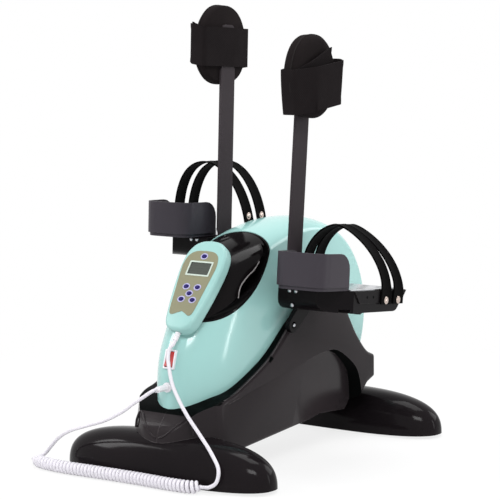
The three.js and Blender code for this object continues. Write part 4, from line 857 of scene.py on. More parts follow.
def arch_cut(side, grow=0.0):
    """The recess under the arch: flush at its front end and deepest at the rear pillar."""
    length, rise = ARCH_REAR - ARCH_FRONT, ARCH_TOP - COVER_BASE
    edge = spline([(ARCH_FRONT + a * length, COVER_BASE + b * rise) for a, b in ARCH_SHARES], 56)
    foot = COVER_BASE - BEYOND
    outline = grown(distinct([Vector((ARCH_REAR, foot))] + edge[::-1] + [Vector((ARCH_FRONT, foot))]), grow)
    slope = (ARCH_DEPTH + BEYOND) / length
    floor, mouth = COVER_HALF - ARCH_DEPTH - grow, COVER_HALF + BEYOND
    rings = []
    for level, reach in ((floor, -ARCH_WALL), (mouth, ARCH_WALL * 0.3)):
        line = grown(outline, reach)
        rings.append([Vector((side * (level + slope * (ARCH_REAR - p.x)), p.x, p.y)) for p in line])
    return loft_solid(rings)


def slope_frame(slope, x, y, z):
    """A frame on the slope of the nose: X across, Y up along the slope, Z out of it."""
    c, s = math.cos(math.radians(slope)), math.sin(math.radians(slope))
    turn = Matrix(((1, 0, 0), (0, c, s), (0, -s, c))).transposed().to_4x4()
    return Matrix.Translation(Vector((x, y, z)) * MM) @ turn


SWITCH_PLACE, SWITCH_HALF, SWITCH_REACH = 190.0, (6.9, 14.4), (-16.4, 9.0)
SCOOP_FRAME = slope_frame(37.4, 0, -146, 325.6)
HAND_FRAME = slope_frame(53.5, 11.6, -188.6, 292.4)


def on_scoop(x, y, z):
    return SCOOP_FRAME @ (Vector((x, y, z)) * MM)


def scoop(grow, lift=0.0, stretch=0.0):
    """The hollow under the carry handle, part of an ellipsoid that opens on both sides."""
    bm = bmesh.new()
    bmesh.ops.create_uvsphere(bm, u_segments=96, v_segments=48, radius=1)
    half = SCOOP_HALF + grow
    size = Matrix.Diagonal((half, SCOOP_HALF + stretch + grow, SCOOP_DEEP + grow, 1 / MM)) * MM
    place = SCOOP_FRAME @ Matrix.Translation((0, 0, lift * MM)) @ size
    bmesh.ops.transform(bm, matrix=place, verts=bm.verts)
    return solid(bm)


HAND_SHARES = [(0.0, 0.5), (0.2, 0.487), (0.36, 0.44), (0.47, 0.345), (0.5, 0.22), (0.487, 0.08),
               (0.45, -0.1), (0.395, -0.27), (0.345, -0.39), (0.27, -0.46), (0.14, -0.497), (0.0, -0.5)]
LABEL_SHARES = [(0.0, 0.372), (0.203, 0.362), (0.331, 0.315), (0.385, 0.215), (0.365, 0.08),
                (0.317, -0.12), (0.27, -0.3), (0.203, -0.345), (0.095, -0.322), (0.0, -0.3)]
HAND_WIDE, HAND_LONG, HAND_THICK, HAND_EDGE = 82.0, 165.0, 23.0, 6.0


def hand_outline(shares, steps=40):
    """The handset or its label seen from its front."""
    half = spline([(a * HAND_WIDE, b * HAND_LONG) for a, b in shares], steps)
    return distinct([Vector((-p.x, p.y)) for p in half[1:-1]] + half[::-1])


def hand_levels(grow=0.0, steps=6):
    """(height, inset) of the handset's rings: flat back, rounded edges, flat front."""
    low = []
    for i in range(steps + 1):
        turn = math.radians(90 * i / steps)
        low.append((HAND_EDGE * (1 - math.cos(turn)), HAND_EDGE * (1 - math.sin(turn))))
    high = [(HAND_THICK - a, b) for a, b in reversed(low)]
    low[0], high[-1] = (-grow, low[0][1]), (HAND_THICK + grow, high[-1][1])
    return low + high


def on_hand(points, height):
    return [HAND_FRAME @ (Vector((p.x, p.y, height)) * MM) for p in points]


def hand_room():
    """The room that the hand control needs in the housing."""
    outline = grown(hand_outline(HAND_SHARES), SEAT)
    return ring_solid([on_hand(grown(outline, -inset), height) for height, inset in hand_levels(SEAT)])


def nose_frame(level, half=15.5):
    """The frame on the nose's middle line at a height, square to the slope there."""
    front = [p for p in shell_outline() if p.x < DISC_Y - DISC_RADIUS / 2]

    def seat(z):
        for a, b in zip(front, front[1:]):
            if b.y <= z < a.y:
                return Vector((0, a.x + (z - a.y) / (b.y - a.y) * (b.x - a.x), z))
        return Vector((0, TONGUE_Y, z))

    low, high = seat(level - half), seat(level + half)
    up = (high - low).normalized()
    out = Vector((1, 0, 0)).cross(up)
    turn = Matrix((Vector((1, 0, 0)), up, out)).transposed().to_4x4()
    return Matrix.Translation(seat(level) * MM) @ turn


def switch_hole():
    """The opening behind the rocker switch, square to the nose."""
    a, b = SWITCH_HALF
    corners = [(-a, -b), (a, -b), (a, b), (-a, b)]
    place = nose_frame(SWITCH_PLACE)
    return ring_solid([[place @ (Vector((x, y, z)) * MM) for x, y in corners] for z in SWITCH_REACH])


def centre_shell():
    """The mint housing: hollow, open below, with the scoop, the hand control's room and the switch hole."""
    below = block((-100, -300, 0), (100, 300, SHELL_BASE))
    made = carved(shell_body(0), cut(shell_body(-SHELL_WALL), scoop(0), hand_room(), switch_hole(), below))
    finished(made, "centre_shell_skin", "centre_shell", 38, 0.0015)


# Where a side cover's faces are painted near-black as shade: the lip beside the shell, and the wall of the
# arch
LIP_INSET, LIP_ABOVE, LIP_BEFORE = 6.0, 105.0, 60.0
WALL_SPAN, WALL_RISE, WALL_OUT = (-94.0, 184.0), (66.0, 178.0), 58.0


def is_lip(centre, normal):
    """The step between the mint shell and a cover's outer face, painted near-black as shade."""
    inside = abs(centre.x) < COVER_HALF - LIP_INSET - COVER_TAPER * (centre.z - COVER_BASE)
    looks_out = (normal.y < -0.15 or normal.z > 0.35) and abs(normal.x) < 0.8
    return inside and looks_out and centre.z > LIP_ABOVE and centre.y < LIP_BEFORE


def is_arch_wall(centre, normal):
    """The sloped wall round the recess under the arch, painted near-black as shade."""
    along = WALL_SPAN[0] < centre.y < WALL_SPAN[1] and WALL_RISE[0] < centre.z < WALL_RISE[1]
    return along and abs(centre.x) > WALL_OUT and abs(normal.x) < 0.93


def is_painted_shade(centre, normal):
    return is_lip(centre, normal) or is_arch_wall(centre, normal)


def side_covers():
    """The two covers: hollow, open to the shell, the feet, the axle and the power inlet."""
    inner = carved(cover_body(-COVER_WALL), cut(arch_cut(1, COVER_WALL), arch_cut(-1, COVER_WALL)))
    room = carved(shell_body(SEAT), cut(block((-130, -510, 0), (130, 510, SHELL_BASE))))
    tools = [inner, arch_cut(1), arch_cut(-1), room]
    tools += [loft_solid(foot_rings(centre, SEAT)) for centre in (-FOOT_PLACE, FOOT_PLACE)]
    tools.append(prism(bend(AXLE_Y, AXLE_Z, HUB_BORE, 0, 352, 44), "x", -95, 95))
    tools.append(block(*INLET_ROOM))
    whole = carved(cover_body(0), cut(*tools))
    for vertex in whole.data.vertices:
        spot = vertex.co
        high, forward = smoothstep(spot.z, 0.06, 0.115), smoothstep(-spot.y, 0.2, 0.27)
        spot.x *= 1 - NOSE_DRAWN_IN * high * forward
    for hand, side in HANDS.items():
        half = whole.copy()
        half.data = whole.data.copy()
        bpy.context.scene.collection.objects.link(half)
        near, far = sorted((side * 0.15, side * 100))
        half = carved(half, [("INTERSECT", block((near, -400, 0), (far, 400, TOP)))])
        finished(half, f"side_cover_{hand}_shell", f"side_cover_{hand}", 34, 0.001, band=is_painted_shade)
    bpy.data.objects.remove(whole)


# The finger opening beside the grip, in the frame of the scoop: its roof (y, z), and its rolled edge (x, y,
# z), where a pale bead is painted as a highlight
GRIP_UNDER = [(80, -17), (52, -22), (27, -25), (1, -25.5), (-16, -30), (-26, -36), (-34, -48)]
GRIP_HIGHLIGHT_LINE = [(62, 45, -23), (61, 27, -24.8), (57.5, 12, -24.8), (55.2, -6, -26), (54.6, -17, -30),
             (55.2, -27, -37)]


def carry_handle():
    """The bowl in the scoop, the grip that bridges it with a finger opening on each side, and a pale bead
    along each opening's edge as a painted highlight.
    """
    bowl_steps = [("INTERSECT", shell_body(-1.0))] + cut(scoop(-SEAT - BOWL_WALL), hand_room())
    bowl = carved(scoop(-SEAT), bowl_steps)
    finished(bowl, "handle_bowl_skin", "handle_bowl", 38, 0.0004)
    room = carved(scoop(-2 * SEAT - BOWL_WALL), [("INTERSECT", scoop(0, *GRIP_ROOM))])
    grip_steps = cut(shell_body(-GRIP_INSET - GRIP_THICK)) + [("INTERSECT", room)]
    grip_steps += cut(hand_room(), grip_cut(1), grip_cut(-1))
    grip = carved(shell_body(-GRIP_INSET), grip_steps)
    finished(grip, "carry_handle_skin", "carry_handle", 38, 0.0012)
    # A pale bead along each rolled edge of the grip: a painted highlight.
    bm = bmesh.new()
    for side in HANDS.values():
        line = spline([on_scoop(side * x, y, z) for x, y, z in GRIP_HIGHLIGHT_LINE], 40)
        add_tube(bm, line, GRIP_HIGHLIGHT_RADIUS * MM, 10)
    edge = new_piece("grip_edge", bm, PAINTED_HIGHLIGHT_GREY, "base", 60)


def grip_cut(side):
    """The finger opening under one wall of the grip."""
    deep = -90
    outline = GRIP_UNDER + [(GRIP_UNDER[-1][0], deep), (GRIP_UNDER[0][0], deep)]
    return ring_solid([[on_scoop(side * x, y, z) for y, z in outline] for x in (36, 100)])


# The fold on the right of the nose, in the CAD's millimetres; the left one mirrors it
CREASE_RADIUS, CREASE_RISE = 2.0, 0.4
CREASE = [(3, -288, 69), (13, -287, 73.5), (24, -283, 82.5), (37, -274.5, 95.5), (44, -269, 102),
          (50, -268.5, 102), (55, -270, 90), (57.5, -269.5, 77)]


def nose_crease():
    """The raised fold on each side of the nose."""
    bm = bmesh.new()
    for side in HANDS.values():
        line = spline([Vector((side * x, y + CREASE_RISE, z)) * MM for x, y, z in CREASE], 48)
        add_tube(bm, line, CREASE_RADIUS * MM, 10)
    fold = new_piece("nose_crease", bm, COVER_BLACK, "base", 60)


centre_shell()
side_covers()
nose_crease()
carry_handle()


# Hand control: its face is drawn in millimetres, heights from its back

BUTTON_SHARES = [(0, 0.31), (-0.135, -0.033), (0.135, -0.033), (0, -0.106), (-0.135, -0.174), (0.135, -0.174)]
BUTTON_HALF, BUTTON_GAP = (4.6, 3.4), 0.35
WINDOW_MIDDLE, WINDOW_HALF = 28.5, (21.3, 11.8)
WINDOW_BEND = 1.2
WINDOW_SEAT, LABEL_SEAT, LABEL_TOP, BUTTON_SEAT, HAND_ABOVE = 20.7, 22.95, 23.5, 18.9, 30.0
LABEL_WIDER, LABEL_SHIFT = 1.1, -0.6


def hand_prism(outline, low, high):
    """A solid square to the handset's face, between two heights."""
    return ring_solid([on_hand(outline, height) for height in (low, high)])


def oval_at(x, y, half, grow=0.0, steps=28):
    return [Vector((x + p.x, y + p.y)) for p in oval(half[0] + grow, half[1] + grow, steps)]


def window_outline(grow):
    """The display's edge, moved outwards by grow."""
    a, b = WINDOW_HALF[0] + grow, WINDOW_HALF[1] + grow
    corners = [(x, WINDOW_MIDDLE + y, WINDOW_BEND) for x, y in ((-a, -b), (a, -b), (a, b), (-a, b))]
    return rounded(corners, 3)


def button_places():
    return [(a * HAND_WIDE, b * HAND_LONG) for a, b in BUTTON_SHARES]


def face_holes(low, window):
    """The window's opening and the button holes, down to the height low."""
    holes = [hand_prism(oval_at(x, y, BUTTON_HALF, BUTTON_GAP), low, HAND_ABOVE) for x, y in button_places()]
    return cut(window, *holes)


def hand_shell():
    outline = hand_outline(HAND_SHARES)
    case = ring_solid([on_hand(grown(outline, -inset), height) for height, inset in hand_levels()])
    window = hand_prism(window_outline(0.0), WINDOW_SEAT, HAND_ABOVE)
    made = carved(case, face_holes(BUTTON_SEAT, window))
    finished(made, "hand_shell_case", "hand_shell", 40, 0.0)


def hand_label():
    """The bare film on the face, a little wider on its left."""
    outline = []
    for p in hand_outline(LABEL_SHARES):
        outline.append(Vector((p.x * (LABEL_WIDER if p.x < 0 else 1.0) + LABEL_SHIFT, p.y)))
    window = hand_prism(window_outline(-0.6), 20, HAND_ABOVE)
    made = carved(hand_prism(outline, LABEL_SEAT, LABEL_TOP), face_holes(20, window))
    finished(made, "hand_label_film", "hand_label", 30, 0.0)


def hand_ring(bm, inner, outer, low, high):
    """A flat raised ring between two outlines of equal count."""
    corners = ((outer, low), (outer, high), (inner, high), (inner, low))
    add_loft(bm, [on_hand(line, height) for line, height in corners], loop=True)


def hand_trim():
    """The window's pale border and the pale rings round the buttons."""
    bm = bmesh.new()
    hand_ring(bm, window_outline(-0.9), window_outline(1.7), 22.9, 24.0)
    border = new_piece("display_border", bm, FRAME_PALE, "hand_control", 30)
    bm = bmesh.new()
    for x, y in button_places():
        inner, outer = (oval_at(x, y, BUTTON_HALF, grow) for grow in (BUTTON_GAP, 2.3))
        hand_ring(bm, inner, outer, 23.2, 23.8)
    rings = new_piece("button_rings", bm, LAVENDER, "hand_control", 30)


def hand_buttons():
    """Soft domed keys that sink into the case."""
    levels = [(20.0, 0.0), (24.5, 0.0), (24.95, -0.25), (25.2, -0.9), (25.35, -2.0), (25.4, -3.2)]
    for i, (x, y) in enumerate(button_places(), 1):
        bm = bmesh.new()
        add_loft(bm, [on_hand(oval_at(x, y, BUTTON_HALF, inset), height) for height, inset in levels])
        node = f"hand_button_{i}"
        stand_for(new_piece(f"{node}_key", bm, BUTTON_BLUE, body_of_node(node), 60), node)


hand_shell()
hand_label()
hand_trim()
hand_buttons()


# The cord: straight from the hand control, curled on the floor, straight to the socket

CORD_RADIUS = 3.0 * MM
COIL_RADIUS = 10.5 * MM
COIL_TURNS = 50
COIL_ROUTE = [(-232, -316), (-204, -328), (-167, -333), (-122, -332), (-67, -329), (-7, -327), (53, -328),
              (88, -325), (112, -314)]
SOCKET_ROUTE = [
    (0, -291.48, 146), (0, -297.48, 146), (-5, -302, 142), (-14, -306, 135), (-28, -308, 126),
    (-54, -309, 108), (-90, -309, 90), (-128, -309, 77), (-162, -308, 65), (-193, -302, 48),
    (-213, -299, 30), (-226, -301, 16), (-237.79, -313.52, 10.5), (-232.28, -315.88, 10.5),
]
HAND_ROUTE = [
    (11.6, -255.6, 221.19), (11.6, -259.17, 216.36), (8, -264, 210), (9, -270, 196), (16, -276, 179),
    (25, -281, 159), (40, -286, 138), (62, -290, 112), (89, -293, 85), (114, -298, 61), (132, -304, 38),
    (131, -309, 19), (117.73, -311.37, 10.5), (112.27, -313.87, 10.5),
]


def in_metres(route, height=None):
    return [Vector((*p, height) if height is not None else p) * MM for p in route]


def coil_line():
    """The curled stretch: a helix round the route on the floor, drawn in at both ends."""
    route = in_metres(COIL_ROUTE, COIL_RADIUS / MM)
    steps = COIL_TURNS * 20
    spine = even_curve(route, 0.5, steps)
    line = []
    for i, point in enumerate(spine):
        share = i / steps
        way = (spine[min(i + 1, steps)] - spine[max(i - 1, 0)]).normalized()
        side = Vector((0, 0, 1)).cross(way)
        reach = (COIL_RADIUS - CORD_RADIUS) * smoothstep(min(share, 1 - share) * COIL_TURNS, 0.6, 1.9)
        turn = 2 * math.pi * COIL_TURNS * share
        line.append(point + side * (reach * math.cos(turn)) + Vector((0, 0, reach * math.sin(turn))))
    return line


def make_cord():
    to_socket = even_curve(in_metres(SOCKET_ROUTE), 0.5, 110)
    curled = coil_line()
    rest = to_socket + curled[1:]
    bm = bmesh.new()
    add_tube(bm, rest, CORD_RADIUS, 12)
    coil = new_piece("curly_cord", bm, CORD_WHITE, "base", 60)
    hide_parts("cord_coil", "cord_to_socket")
    to_hand = even_curve(in_metres(HAND_ROUTE), 0.5, 110)
    bm = bmesh.new()
    add_tube(bm, to_hand, CORD_RADIUS, 12)
    lead = new_piece("hand_cord", bm, CORD_WHITE, None, 60)
    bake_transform(lead)
    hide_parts("cord_to_hand")


make_cord()


# Pedals: bars, straps, fasteners and calf rests, in the pedal's own millimetres from its spindle

# The crank's length and turn, each pedal's pitch, the pedal's width, and the leg bar behind it
CRANK, CRANK_TURN = 54.0, math.radians(36.5)
PITCH = {"right": math.radians(5.0), "left": math.radians(2.0)}
PEDAL_INNER, PEDAL_OUTER, FLANGE = 103.0, 215.8, 2.0
BAR_OUTER = PEDAL_INNER - 0.3
BAR_INNER = BAR_OUTER - 4.1
BAR_PLACE = -59.0
BAR_TIP, BAR_SHORTER = 0.03, 0.019
BAR_SEEN_FROM, BAR_SEEN_TO, BAR_STEP, BAR_WIDER = 42.0, 330.0, 5.0, 0.2
REST_DROP = {"right": 0.0, "left": 13.0}


def on_pedal(hand, x, y, z):
    """A point drawn in the pedal's own millimetres, as a point of the row frame in metres."""
    swing = -HANDS[hand] * CRANK
    sy = AXLE_Y + swing * math.cos(CRANK_TURN)
    sz = AXLE_Z + swing * math.sin(CRANK_TURN)
    c, s = math.cos(PITCH[hand]), math.sin(PITCH[hand])
    return Vector((x, sy + y * c + z * s, sz - y * s + z * c)) * MM


def shorten_bar(hand):
    """The far leg bar of the photograph ends a little lower than the near one."""
    mesh = bpy.data.objects[f"leg_bar_{hand}_dressed"].data
    top = max(vertex.co.z for vertex in mesh.vertices)
    for vertex in mesh.vertices:
        if vertex.co.z > top - BAR_TIP:
            vertex.co.z -= BAR_SHORTER


def widen_bar(hand):
    """The stretch of a leg bar between the tread and the calf strap, a little wider than its ends."""
    mesh = bpy.data.objects[f"leg_bar_{hand}_dressed"].data
    low, high = BAR_SEEN_FROM, BAR_SEEN_TO - REST_DROP[hand]
    start = on_pedal(hand, 0, BAR_PLACE, 0)
    up = on_pedal(hand, 0, 0, 1) - on_pedal(hand, 0, 0, 0)
    across = on_pedal(hand, 0, 1, 0) - on_pedal(hand, 0, 0, 0)
    bm = bmesh.new()
    bm.from_mesh(mesh)
    for level in (low - BAR_STEP, low, high, high + BAR_STEP):
        whole = bm.verts[:] + bm.edges[:] + bm.faces[:]
        bmesh.ops.bisect_plane(bm, geom=whole, plane_co=start + up * level, plane_no=up)
    for vertex in bm.verts:
        level = (vertex.co - start).dot(up) / up.length_squared
        offset = (vertex.co - start).dot(across) / across.length_squared
        if low - 1 < level < high + 1:
            vertex.co += across * offset * BAR_WIDER
    bm.to_mesh(mesh)
    bm.free()


def strap_spine(hand, place, centre, peak, lean, set_back, draw, skew):
    """The middle line of a foot strap: up one side of the pedal, over the foot and down the other."""
    side, low, upright, out = HANDS[hand], 6.7, 30.0, 1.8
    right = PEDAL_OUTER + FLANGE + out if side > 0 else -PEDAL_INNER + out
    left = PEDAL_INNER - out if side > 0 else -PEDAL_OUTER - FLANGE - out
    middle, half = (right + left) / 2, (right - left) / 2
    drawn = [(right, -1.0)]
    for i in range(15):
        turn = i / 14 * math.pi
        cos = math.cos(turn)
        bow = STRAP_BELLY[hand][cos < 0]
        drawn.append((middle + half * math.copysign(abs(cos) ** bow, cos), math.sin(turn)))
    drawn.append((left, -1.0))
    points = []
    for x, rise in drawn:
        share = max(rise, 0.0)
        across = (right - x) / (right - left)
        y = centre + (place - centre) * (1 - draw * share) - set_back * across - lean * share
        z = low if rise < 0 else low + upright + (peak - low - upright) * share
        points.append(Vector((x + skew * share, y, z)))
    return even_curve(points, 1.0, 72)


# How each pair of foot straps stands: middle, crest, lean to the heel, step back across the pedal,
# how much the two draw together at the crest, and the crest's shift outwards
STRAPS = {
    "right": dict(centre=57.0, peak=134.0, lean=48.0, set_back=59.0, draw=0.3, skew=11.0),
    "left": dict(centre=38.0, peak=156.0, lean=27.0, set_back=48.0, draw=-0.15, skew=8.0),
}
STRAP_PLACES = {"rear": -19.0, "front": 19.0}
# The belly of the outer and the inner half, and the height of the rivets
STRAP_BELLY = {"right": (1.45, 1.15), "left": (1.05, 0.86)}
RIVET_Z = {"right": 13.0, "left": 62.0}
STRAP_HALF, STRAP_THICK, STRAP_FLARE = 13.5, 3.0, 0.16


def strap_section():
    """The band's own section: flat, with a rolled edge at each side."""
    half, thick = STRAP_HALF, STRAP_THICK / 2
    edge = [(half - 1.2, thick), (half - 0.3, thick * 0.8), (half, 0.0)]
    top = [(-(half - 2.6), thick * 0.72), (0.0, thick * 0.66), (half - 2.6, thick * 0.72)] + edge
    top = [(-a, b) for a, b in reversed(edge[:2])] + top
    return top + [(a, -b) for a, b in reversed(top[:-1])] + [(-half, 0.0)]


def foot_strap(hand, end):
    """One band of webbing over the foot, widest where it is riveted to the pedal."""
    spec = STRAPS[hand]
    spine = strap_spine(hand, spec["centre"] + STRAP_PLACES[end], **spec)
    section = strap_section()
    bm = bmesh.new()
    rings = []
    for i, point in enumerate(spine):
        way = spine[min(i + 1, len(spine) - 1)] - spine[max(i - 1, 0)]
        way.y = 0
        face = way.normalized().cross(Vector((0, 1, 0)))
        wide = 1 + STRAP_FLARE * (1 - smoothstep(point.z, 20, 46))
        rings.append([on_pedal(hand, *(point + Vector((0, a * wide, 0)) + face * b)) for a, b in section])
    add_loft(bm, rings)
    piece = new_piece(f"foot_strap_{end}_{hand}_band", bm, WEBBING, f"pedal_{hand}", 50)
    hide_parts(f"foot_strap_{end}_{hand}")
    return spine


# Profiles of a rivet, as shares of its radius and rise, and of a screw: (radius, height)
RIVET_SHARES = [(0, 0), (1, 0), (1, 0.25), (0.94, 0.36), (0.66, 0.38), (0.62, 0.5), (0.52, 0.8), (0.34, 0.96),
                (0, 1)]
SCREW = [(0, -0.6), (3.2, -0.6), (3.2, 0.5), (2.9, 1.0), (2.0, 1.6), (0.9, 1.9), (0, 1.9)]
HEEL_SCREWS, HEEL_FACE = ((125.0, 25.0), (137.0, 25.0), (131.0, 2.0)), -103.8
FLANGE_HOLES, CRANK_END, CRANK_FACE = (-16.0, 3.0), 108.0, 94.6
SHEET_INSET, SHEET_ENDS, SHEET_LEVELS = 6.0, (-54.0, 100.0), (30.0, 31.15)


def rivet_head(name, hand, x, y, z, way, radius=6.2, rise=2.6, material=RIVET_STEEL):
    """A domed rivet on its washer."""
    bm = bmesh.new()
    profile = [(r * radius * MM, h * rise * MM) for r, h in RIVET_SHARES]
    add_turned(bm, facing(on_pedal(hand, x, y, z), (way, 0, 0)), profile)
    piece = new_piece(name, bm, material, f"pedal_{hand}", 30)


def screw_head(name, place, way, body):
    """A low round screw head, seated a little deep."""
    bm = bmesh.new()
    add_turned(bm, facing(place, way), [(r * MM, h * MM) for r, h in SCREW])
    piece = new_piece(name, bm, BRIGHT_STEEL, body, 30)


def fit_straps():
    for hand in HANDS:
        z = RIVET_Z[hand]
        for end in STRAP_PLACES:
            spine = foot_strap(hand, end)
            for label, stretch, way in (("outer", spine[:12], 1), ("inner", spine[-12:], -1)):
                near = min(stretch, key=lambda p: abs(p.z - z))
                rivet_head(f"strap_rivet_{label}_{end}_{hand}", hand, near.x + way * 0.9, near.y, z, way)


def tread_hole_shade(hand, side):
    """A near-black sheet under a tread plate: painted shade seen through its holes."""
    near, far = side * (PEDAL_INNER + SHEET_INSET), side * (PEDAL_OUTER - SHEET_INSET)
    back, front = SHEET_ENDS
    corners = ((near, back), (far, back), (far, front), (near, front))
    bm = bmesh.new()
    add_loft(bm, [[on_pedal(hand, x, y, z) for x, y in corners] for z in SHEET_LEVELS])
    sheet = new_piece(f"tread_grip_{hand}", bm, PAINTED_SHADE_BLACK, f"pedal_{hand}", 30)


def fit_fasteners():
    """Screws of the heel and crank ends, near-black discs painted as the shade of the flange's holes, and the
    painted shade under the tread plates.
    """
    for hand, side in HANDS.items():
        for i, (x, z) in enumerate(HEEL_SCREWS, 1):
            place = on_pedal(hand, side * x, HEEL_FACE, z)
            screw_head(f"heel_screw_{i}_{hand}", place, (0, -1, 0), f"pedal_{hand}")
        for i, y in enumerate(FLANGE_HOLES, 1):
            x = side * (PEDAL_OUTER + FLANGE)
            # Flat near-black discs: painted shade standing for the holes of the flange.
            rivet_head(f"flange_hole_{i}_{hand}", hand, x, y, 19.0, side, 2.3, 0.3, PAINTED_SHADE_BLACK)
        reach = side * CRANK_END
        y, z = AXLE_Y - reach * math.cos(CRANK_TURN), AXLE_Z - reach * math.sin(CRANK_TURN)
        place = Vector((side * CRANK_FACE, y, z)) * MM
        screw_head(f"crank_bolt_{hand}", place, (side, 0, 0), "crankset")
        tread_hole_shade(hand, side)


# The calf pad's edges, and the cloth band that holds it to the bar
PAD_LOW, PAD_HIGH, PAD_HALF, PAD_THICK, PAD_SHIFT = 304.0, 438.0, 62.0, 26.0, -3.0
PAD_LAYERS = [(0.0, 3.5), (0.05, 1.6), (0.14, 0.3), (0.3, 0.0), (0.5, 0.0), (0.68, 0.9), (0.82, 3.0),
              (0.91, 6.5), (0.96, 11.0), (0.985, 18.0), (0.995, 30.0)]
CALF_LOW, CALF_HIGH, CALF_ROWS, CALF_STEPS = 334.0, 400.0, 12, 180
CALF_LOOP_OUT, CALF_CORNER, BAR_HALF = 24.0, 8.0, 22.4
PIPING_RADIUS, UNDER_STRETCH = 1.1, (62, 122)
# Tilt and drop of the band and of the layer under it; then how far the near band's lower hem hangs down,
# and how far the band and the layer are drawn in towards the pad
CALF_TILT = {"right": (13.0, -9.0, 31.0, 9.0), "left": (-7.0, 0.0, -9.0, 2.0)}
CALF_NEAR = (5.0, 5.0, 13.0)


def calf_outline():
    """The pad's outline round its middle, as half-widths of one."""
    def bulge(v):
        return math.copysign(abs(v) ** 0.86, v)

    out = []
    for a, b in oval(1, 1, 64):
        out.append((bulge(a) * (1 - 0.06 * bulge(b)), bulge(b)))
    return out


def calf_pad(hand):
    """A foam pad in cloth: flat at the bar, crowned at the calf, a piped seam round it."""
    side = HANDS[hand]
    low, high = PAD_LOW - REST_DROP[hand], PAD_HIGH - REST_DROP[hand]
    mid, tall = (low + high) / 2, (high - low) / 2
    middle = BAR_PLACE + PAD_SHIFT
    outline = calf_outline()
    bm = bmesh.new()
    rings = []
    for depth, inset in PAD_LAYERS:
        ring = []
        for a, b in outline:
            y = middle + a * (PAD_HALF - inset)
            z = mid + b * (tall - inset)
            wave = noise.noise(Vector((y * 0.045, z * 0.045, depth * 2 + side * 5))) * 0.9
            x = BAR_OUTER + 0.4 + depth * PAD_THICK * 0.97 + wave * (depth > 0.6)
            ring.append(on_pedal(hand, side * x, y, z))
        rings.append(ring)
    add_loft(bm, rings)
    pad = new_piece(f"calf_pad_{hand}_cover", bm, PAD_CLOTH, f"pedal_{hand}", 60)
    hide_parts(f"calf_pad_{hand}")
    bm = bmesh.new()
    x = side * (BAR_OUTER + PAD_THICK * 0.62)
    ring = [on_pedal(hand, x, middle + a * (PAD_HALF - 0.2), mid + b * (tall - 0.2)) for a, b in outline]
    add_tube(bm, ring + [ring[0]], PIPING_RADIUS * MM, 8)
    seam = new_piece(f"calf_pad_{hand}_piping", bm, THREAD, f"pedal_{hand}", 60)


def calf_loop(grow):
    """The strap's line round the bar and pad, seen from above, as (x, y)."""
    middle = BAR_PLACE + PAD_SHIFT
    side = PAD_HALF + 0.3
    face = BAR_OUTER + PAD_THICK
    outer = face + CALF_LOOP_OUT
    inner = BAR_INNER - 0.3
    corners = [
        (inner - grow, BAR_PLACE + BAR_HALF), (inner - grow, BAR_PLACE - BAR_HALF),
        (BAR_INNER, middle - side - grow), (face, middle - side - grow),
        (outer - 2 + grow, middle - side * 0.45), (outer + grow, middle + side * 0.72),
        (face + 2, middle + side + grow), (BAR_INNER, middle + side + grow),
    ]
    line = [Vector((p.x, p.y, 0)) for p in rounded([(*corner, CALF_CORNER) for corner in corners], 8)]
    return even_line(line + [line[0]], CALF_STEPS)[:-1]


def calf_band(hand, name, low, walls, stretch=None, tilt=0.0, drop=0.0, pull=0.0):
    """A stretch of strap cloth between two walls outside the pad's loop, or the whole way round it."""
    side, whole = HANDS[hand], hand == "right"
    near, far = (calf_loop(wall) for wall in walls)
    picks = range(CALF_STEPS) if stretch is None else range(stretch[0], stretch[1] + 1)
    high = CALF_HIGH - REST_DROP[hand]
    rows = CALF_ROWS
    rings = []
    for i in picks:
        ring = []
        for wall, back in ((far[i], False), (near[i], True)):
            for k in sorted(range(rows + 1), reverse=back):
                share = k / rows
                z = low + (high - low) * share
                outside = 1.0 if whole else smoothstep(wall.x, BAR_OUTER - 4, BAR_OUTER + 44)
                z += (tilt * (wall.y - BAR_PLACE) / 60 + drop) * outside
                wave = 0.8 * noise.noise(Vector((wall.x * 0.05, wall.y * 0.05, z * 0.04 + side)))
                pinch = 1 - 0.35 * (1 - math.sin(math.pi * share)) * (abs(share - 0.5) > 0.42)
                hem = 0.7 * (not back and (k <= 1 or k >= rows - 1))
                x = wall.x + (wave * pinch + hem) * (wall.x > BAR_OUTER + 30)
                x -= pull * smoothstep(wall.x, BAR_OUTER + 18, BAR_OUTER + 50)
                front = whole * smoothstep(BAR_PLACE - wall.y, 24, 40)
                y = wall.y + 13 * (1 - share) ** 1.4 * front
                ring.append(on_pedal(hand, side * x, y, z))
        rings.append(ring)
    bm = bmesh.new()
    add_loft(bm, rings, loop=stretch is None)
    piece = new_piece(name, bm, CLOTH, f"pedal_{hand}", 50)
    return piece


def calf_strap(hand):
    """The outer band round pad and bar, and the layer under it where it crosses itself."""
    low = CALF_LOW - REST_DROP[hand]
    tilt, drop, under_tilt, under_drop = CALF_TILT[hand]
    reach, pull, under_pull = CALF_NEAR if hand == "right" else (0.0, 0.0, 0.0)
    band = calf_band(hand, f"calf_strap_{hand}_band", low - reach, (0.0, 2.6), None, tilt, drop, pull)
    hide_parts(f"calf_strap_{hand}")
    under = f"calf_strap_{hand}_under"
    calf_band(hand, under, low + 2, (-4.2, -1.6), UNDER_STRETCH, under_tilt, under_drop, under_pull)


shorten_bar("left")
for hand in HANDS:
    widen_bar(hand)
fit_straps()
fit_fasteners()
for hand in HANDS:
    calf_pad(hand)
    calf_strap(hand)


# Studio


def lamp(name, place, aim, size, power):
    """A soft rectangular lamp at a place, aimed at a point."""
    data = bpy.data.lights.new(name, "AREA")
    data.shape = "RECTANGLE"
    data.size, data.size_y = size
    data.energy = power
    made = bpy.data.objects.new(name, data)
    bpy.context.scene.collection.objects.link(made)
    made.location = place
    way = Vector(aim) - Vector(place)
    made.rotation_mode = "QUATERNION"
    made.rotation_quaternion = way.to_track_quat("-Z", "Y")


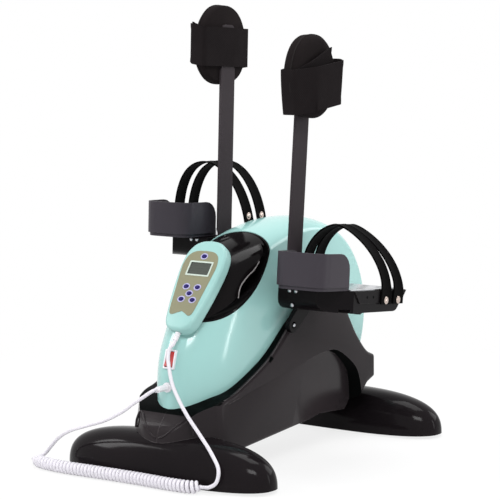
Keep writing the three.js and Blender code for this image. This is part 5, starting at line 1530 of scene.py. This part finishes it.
def seen_directly(w):
    """One where the ray comes from the camera, a mirror or glass."""
    path = w.node("ShaderNodeLightPath").outputs
    seen = w.math("MAXIMUM", path["Is Camera Ray"], path["Is Glossy Ray"])
    return w.math("MAXIMUM", seen, path["Is Transmission Ray"])


def make_world():
    world = bpy.data.worlds.new("studio_world")
    bpy.context.scene.world = world
    world.use_nodes = True
    w = Wiring(world.node_tree)
    back = world.node_tree.nodes["Background"]
    back.inputs["Color"].default_value = (1, 1, 1, 1)
    strength = w.spread(seen_directly(w), 0.0, 1.0, 0.5, 1.0)
    w.tree.links.new(strength, back.inputs["Strength"])


def make_floor():
    bm = bmesh.new()
    bmesh.ops.create_grid(bm, x_segments=1, y_segments=1, size=6.0)
    material = bpy.data.materials.new("pale_floor")
    material.use_nodes = True
    w = Wiring(material.node_tree)
    shader = material.node_tree.nodes["Principled BSDF"]
    shader.inputs["Base Color"].default_value = (0.8, 0.8, 0.8, 1)
    shader.inputs["Roughness"].default_value = 0.9
    glow = w.node("ShaderNodeEmission", {"Color": (1, 1, 1, 1), "Strength": 1.0})
    place = w.node("ShaderNodeNewGeometry").outputs["Position"]
    away = w.node("ShaderNodeVectorMath", {0: place}, operation="LENGTH").outputs["Value"]
    share = w.math("MULTIPLY", seen_directly(w), w.spread(away, 0.35, 1.1, 0.8, 1.0))
    mix = w.node("ShaderNodeMixShader", {0: share, 1: shader.outputs[0], 2: glow.outputs[0]})
    out = material.node_tree.nodes["Material Output"]
    w.tree.links.new(mix.outputs[0], out.inputs["Surface"])
    floor = new_piece("studio_floor", bm, material, None)
    floor.location.z = -0.0005


make_world()
make_floor()
for lamp_row in (
    ("key_light", (1.6, -2.6, 2.6), (0, 0, 0.3), (1.3, 0.9), 70),
    ("left_light", (-2.6, -1.6, 1.9), (0, 0, 0.35), (0.9, 1.3), 45),
    ("top_light", (0.1, 0.4, 3.0), (0, 0, 0.2), (1.5, 1.5), 45),
    ("strip_light", (2.7, 1.0, 0.8), (0, -0.25, 0.12), (0.22, 1.5), 11),
    ("rear_light", (1.6, 2.4, 1.8), (0, 0, 0.4), (1.6, 1.6), 30),
):
    lamp(*lamp_row)
bpy.context.scene.view_settings.view_transform = "Standard"
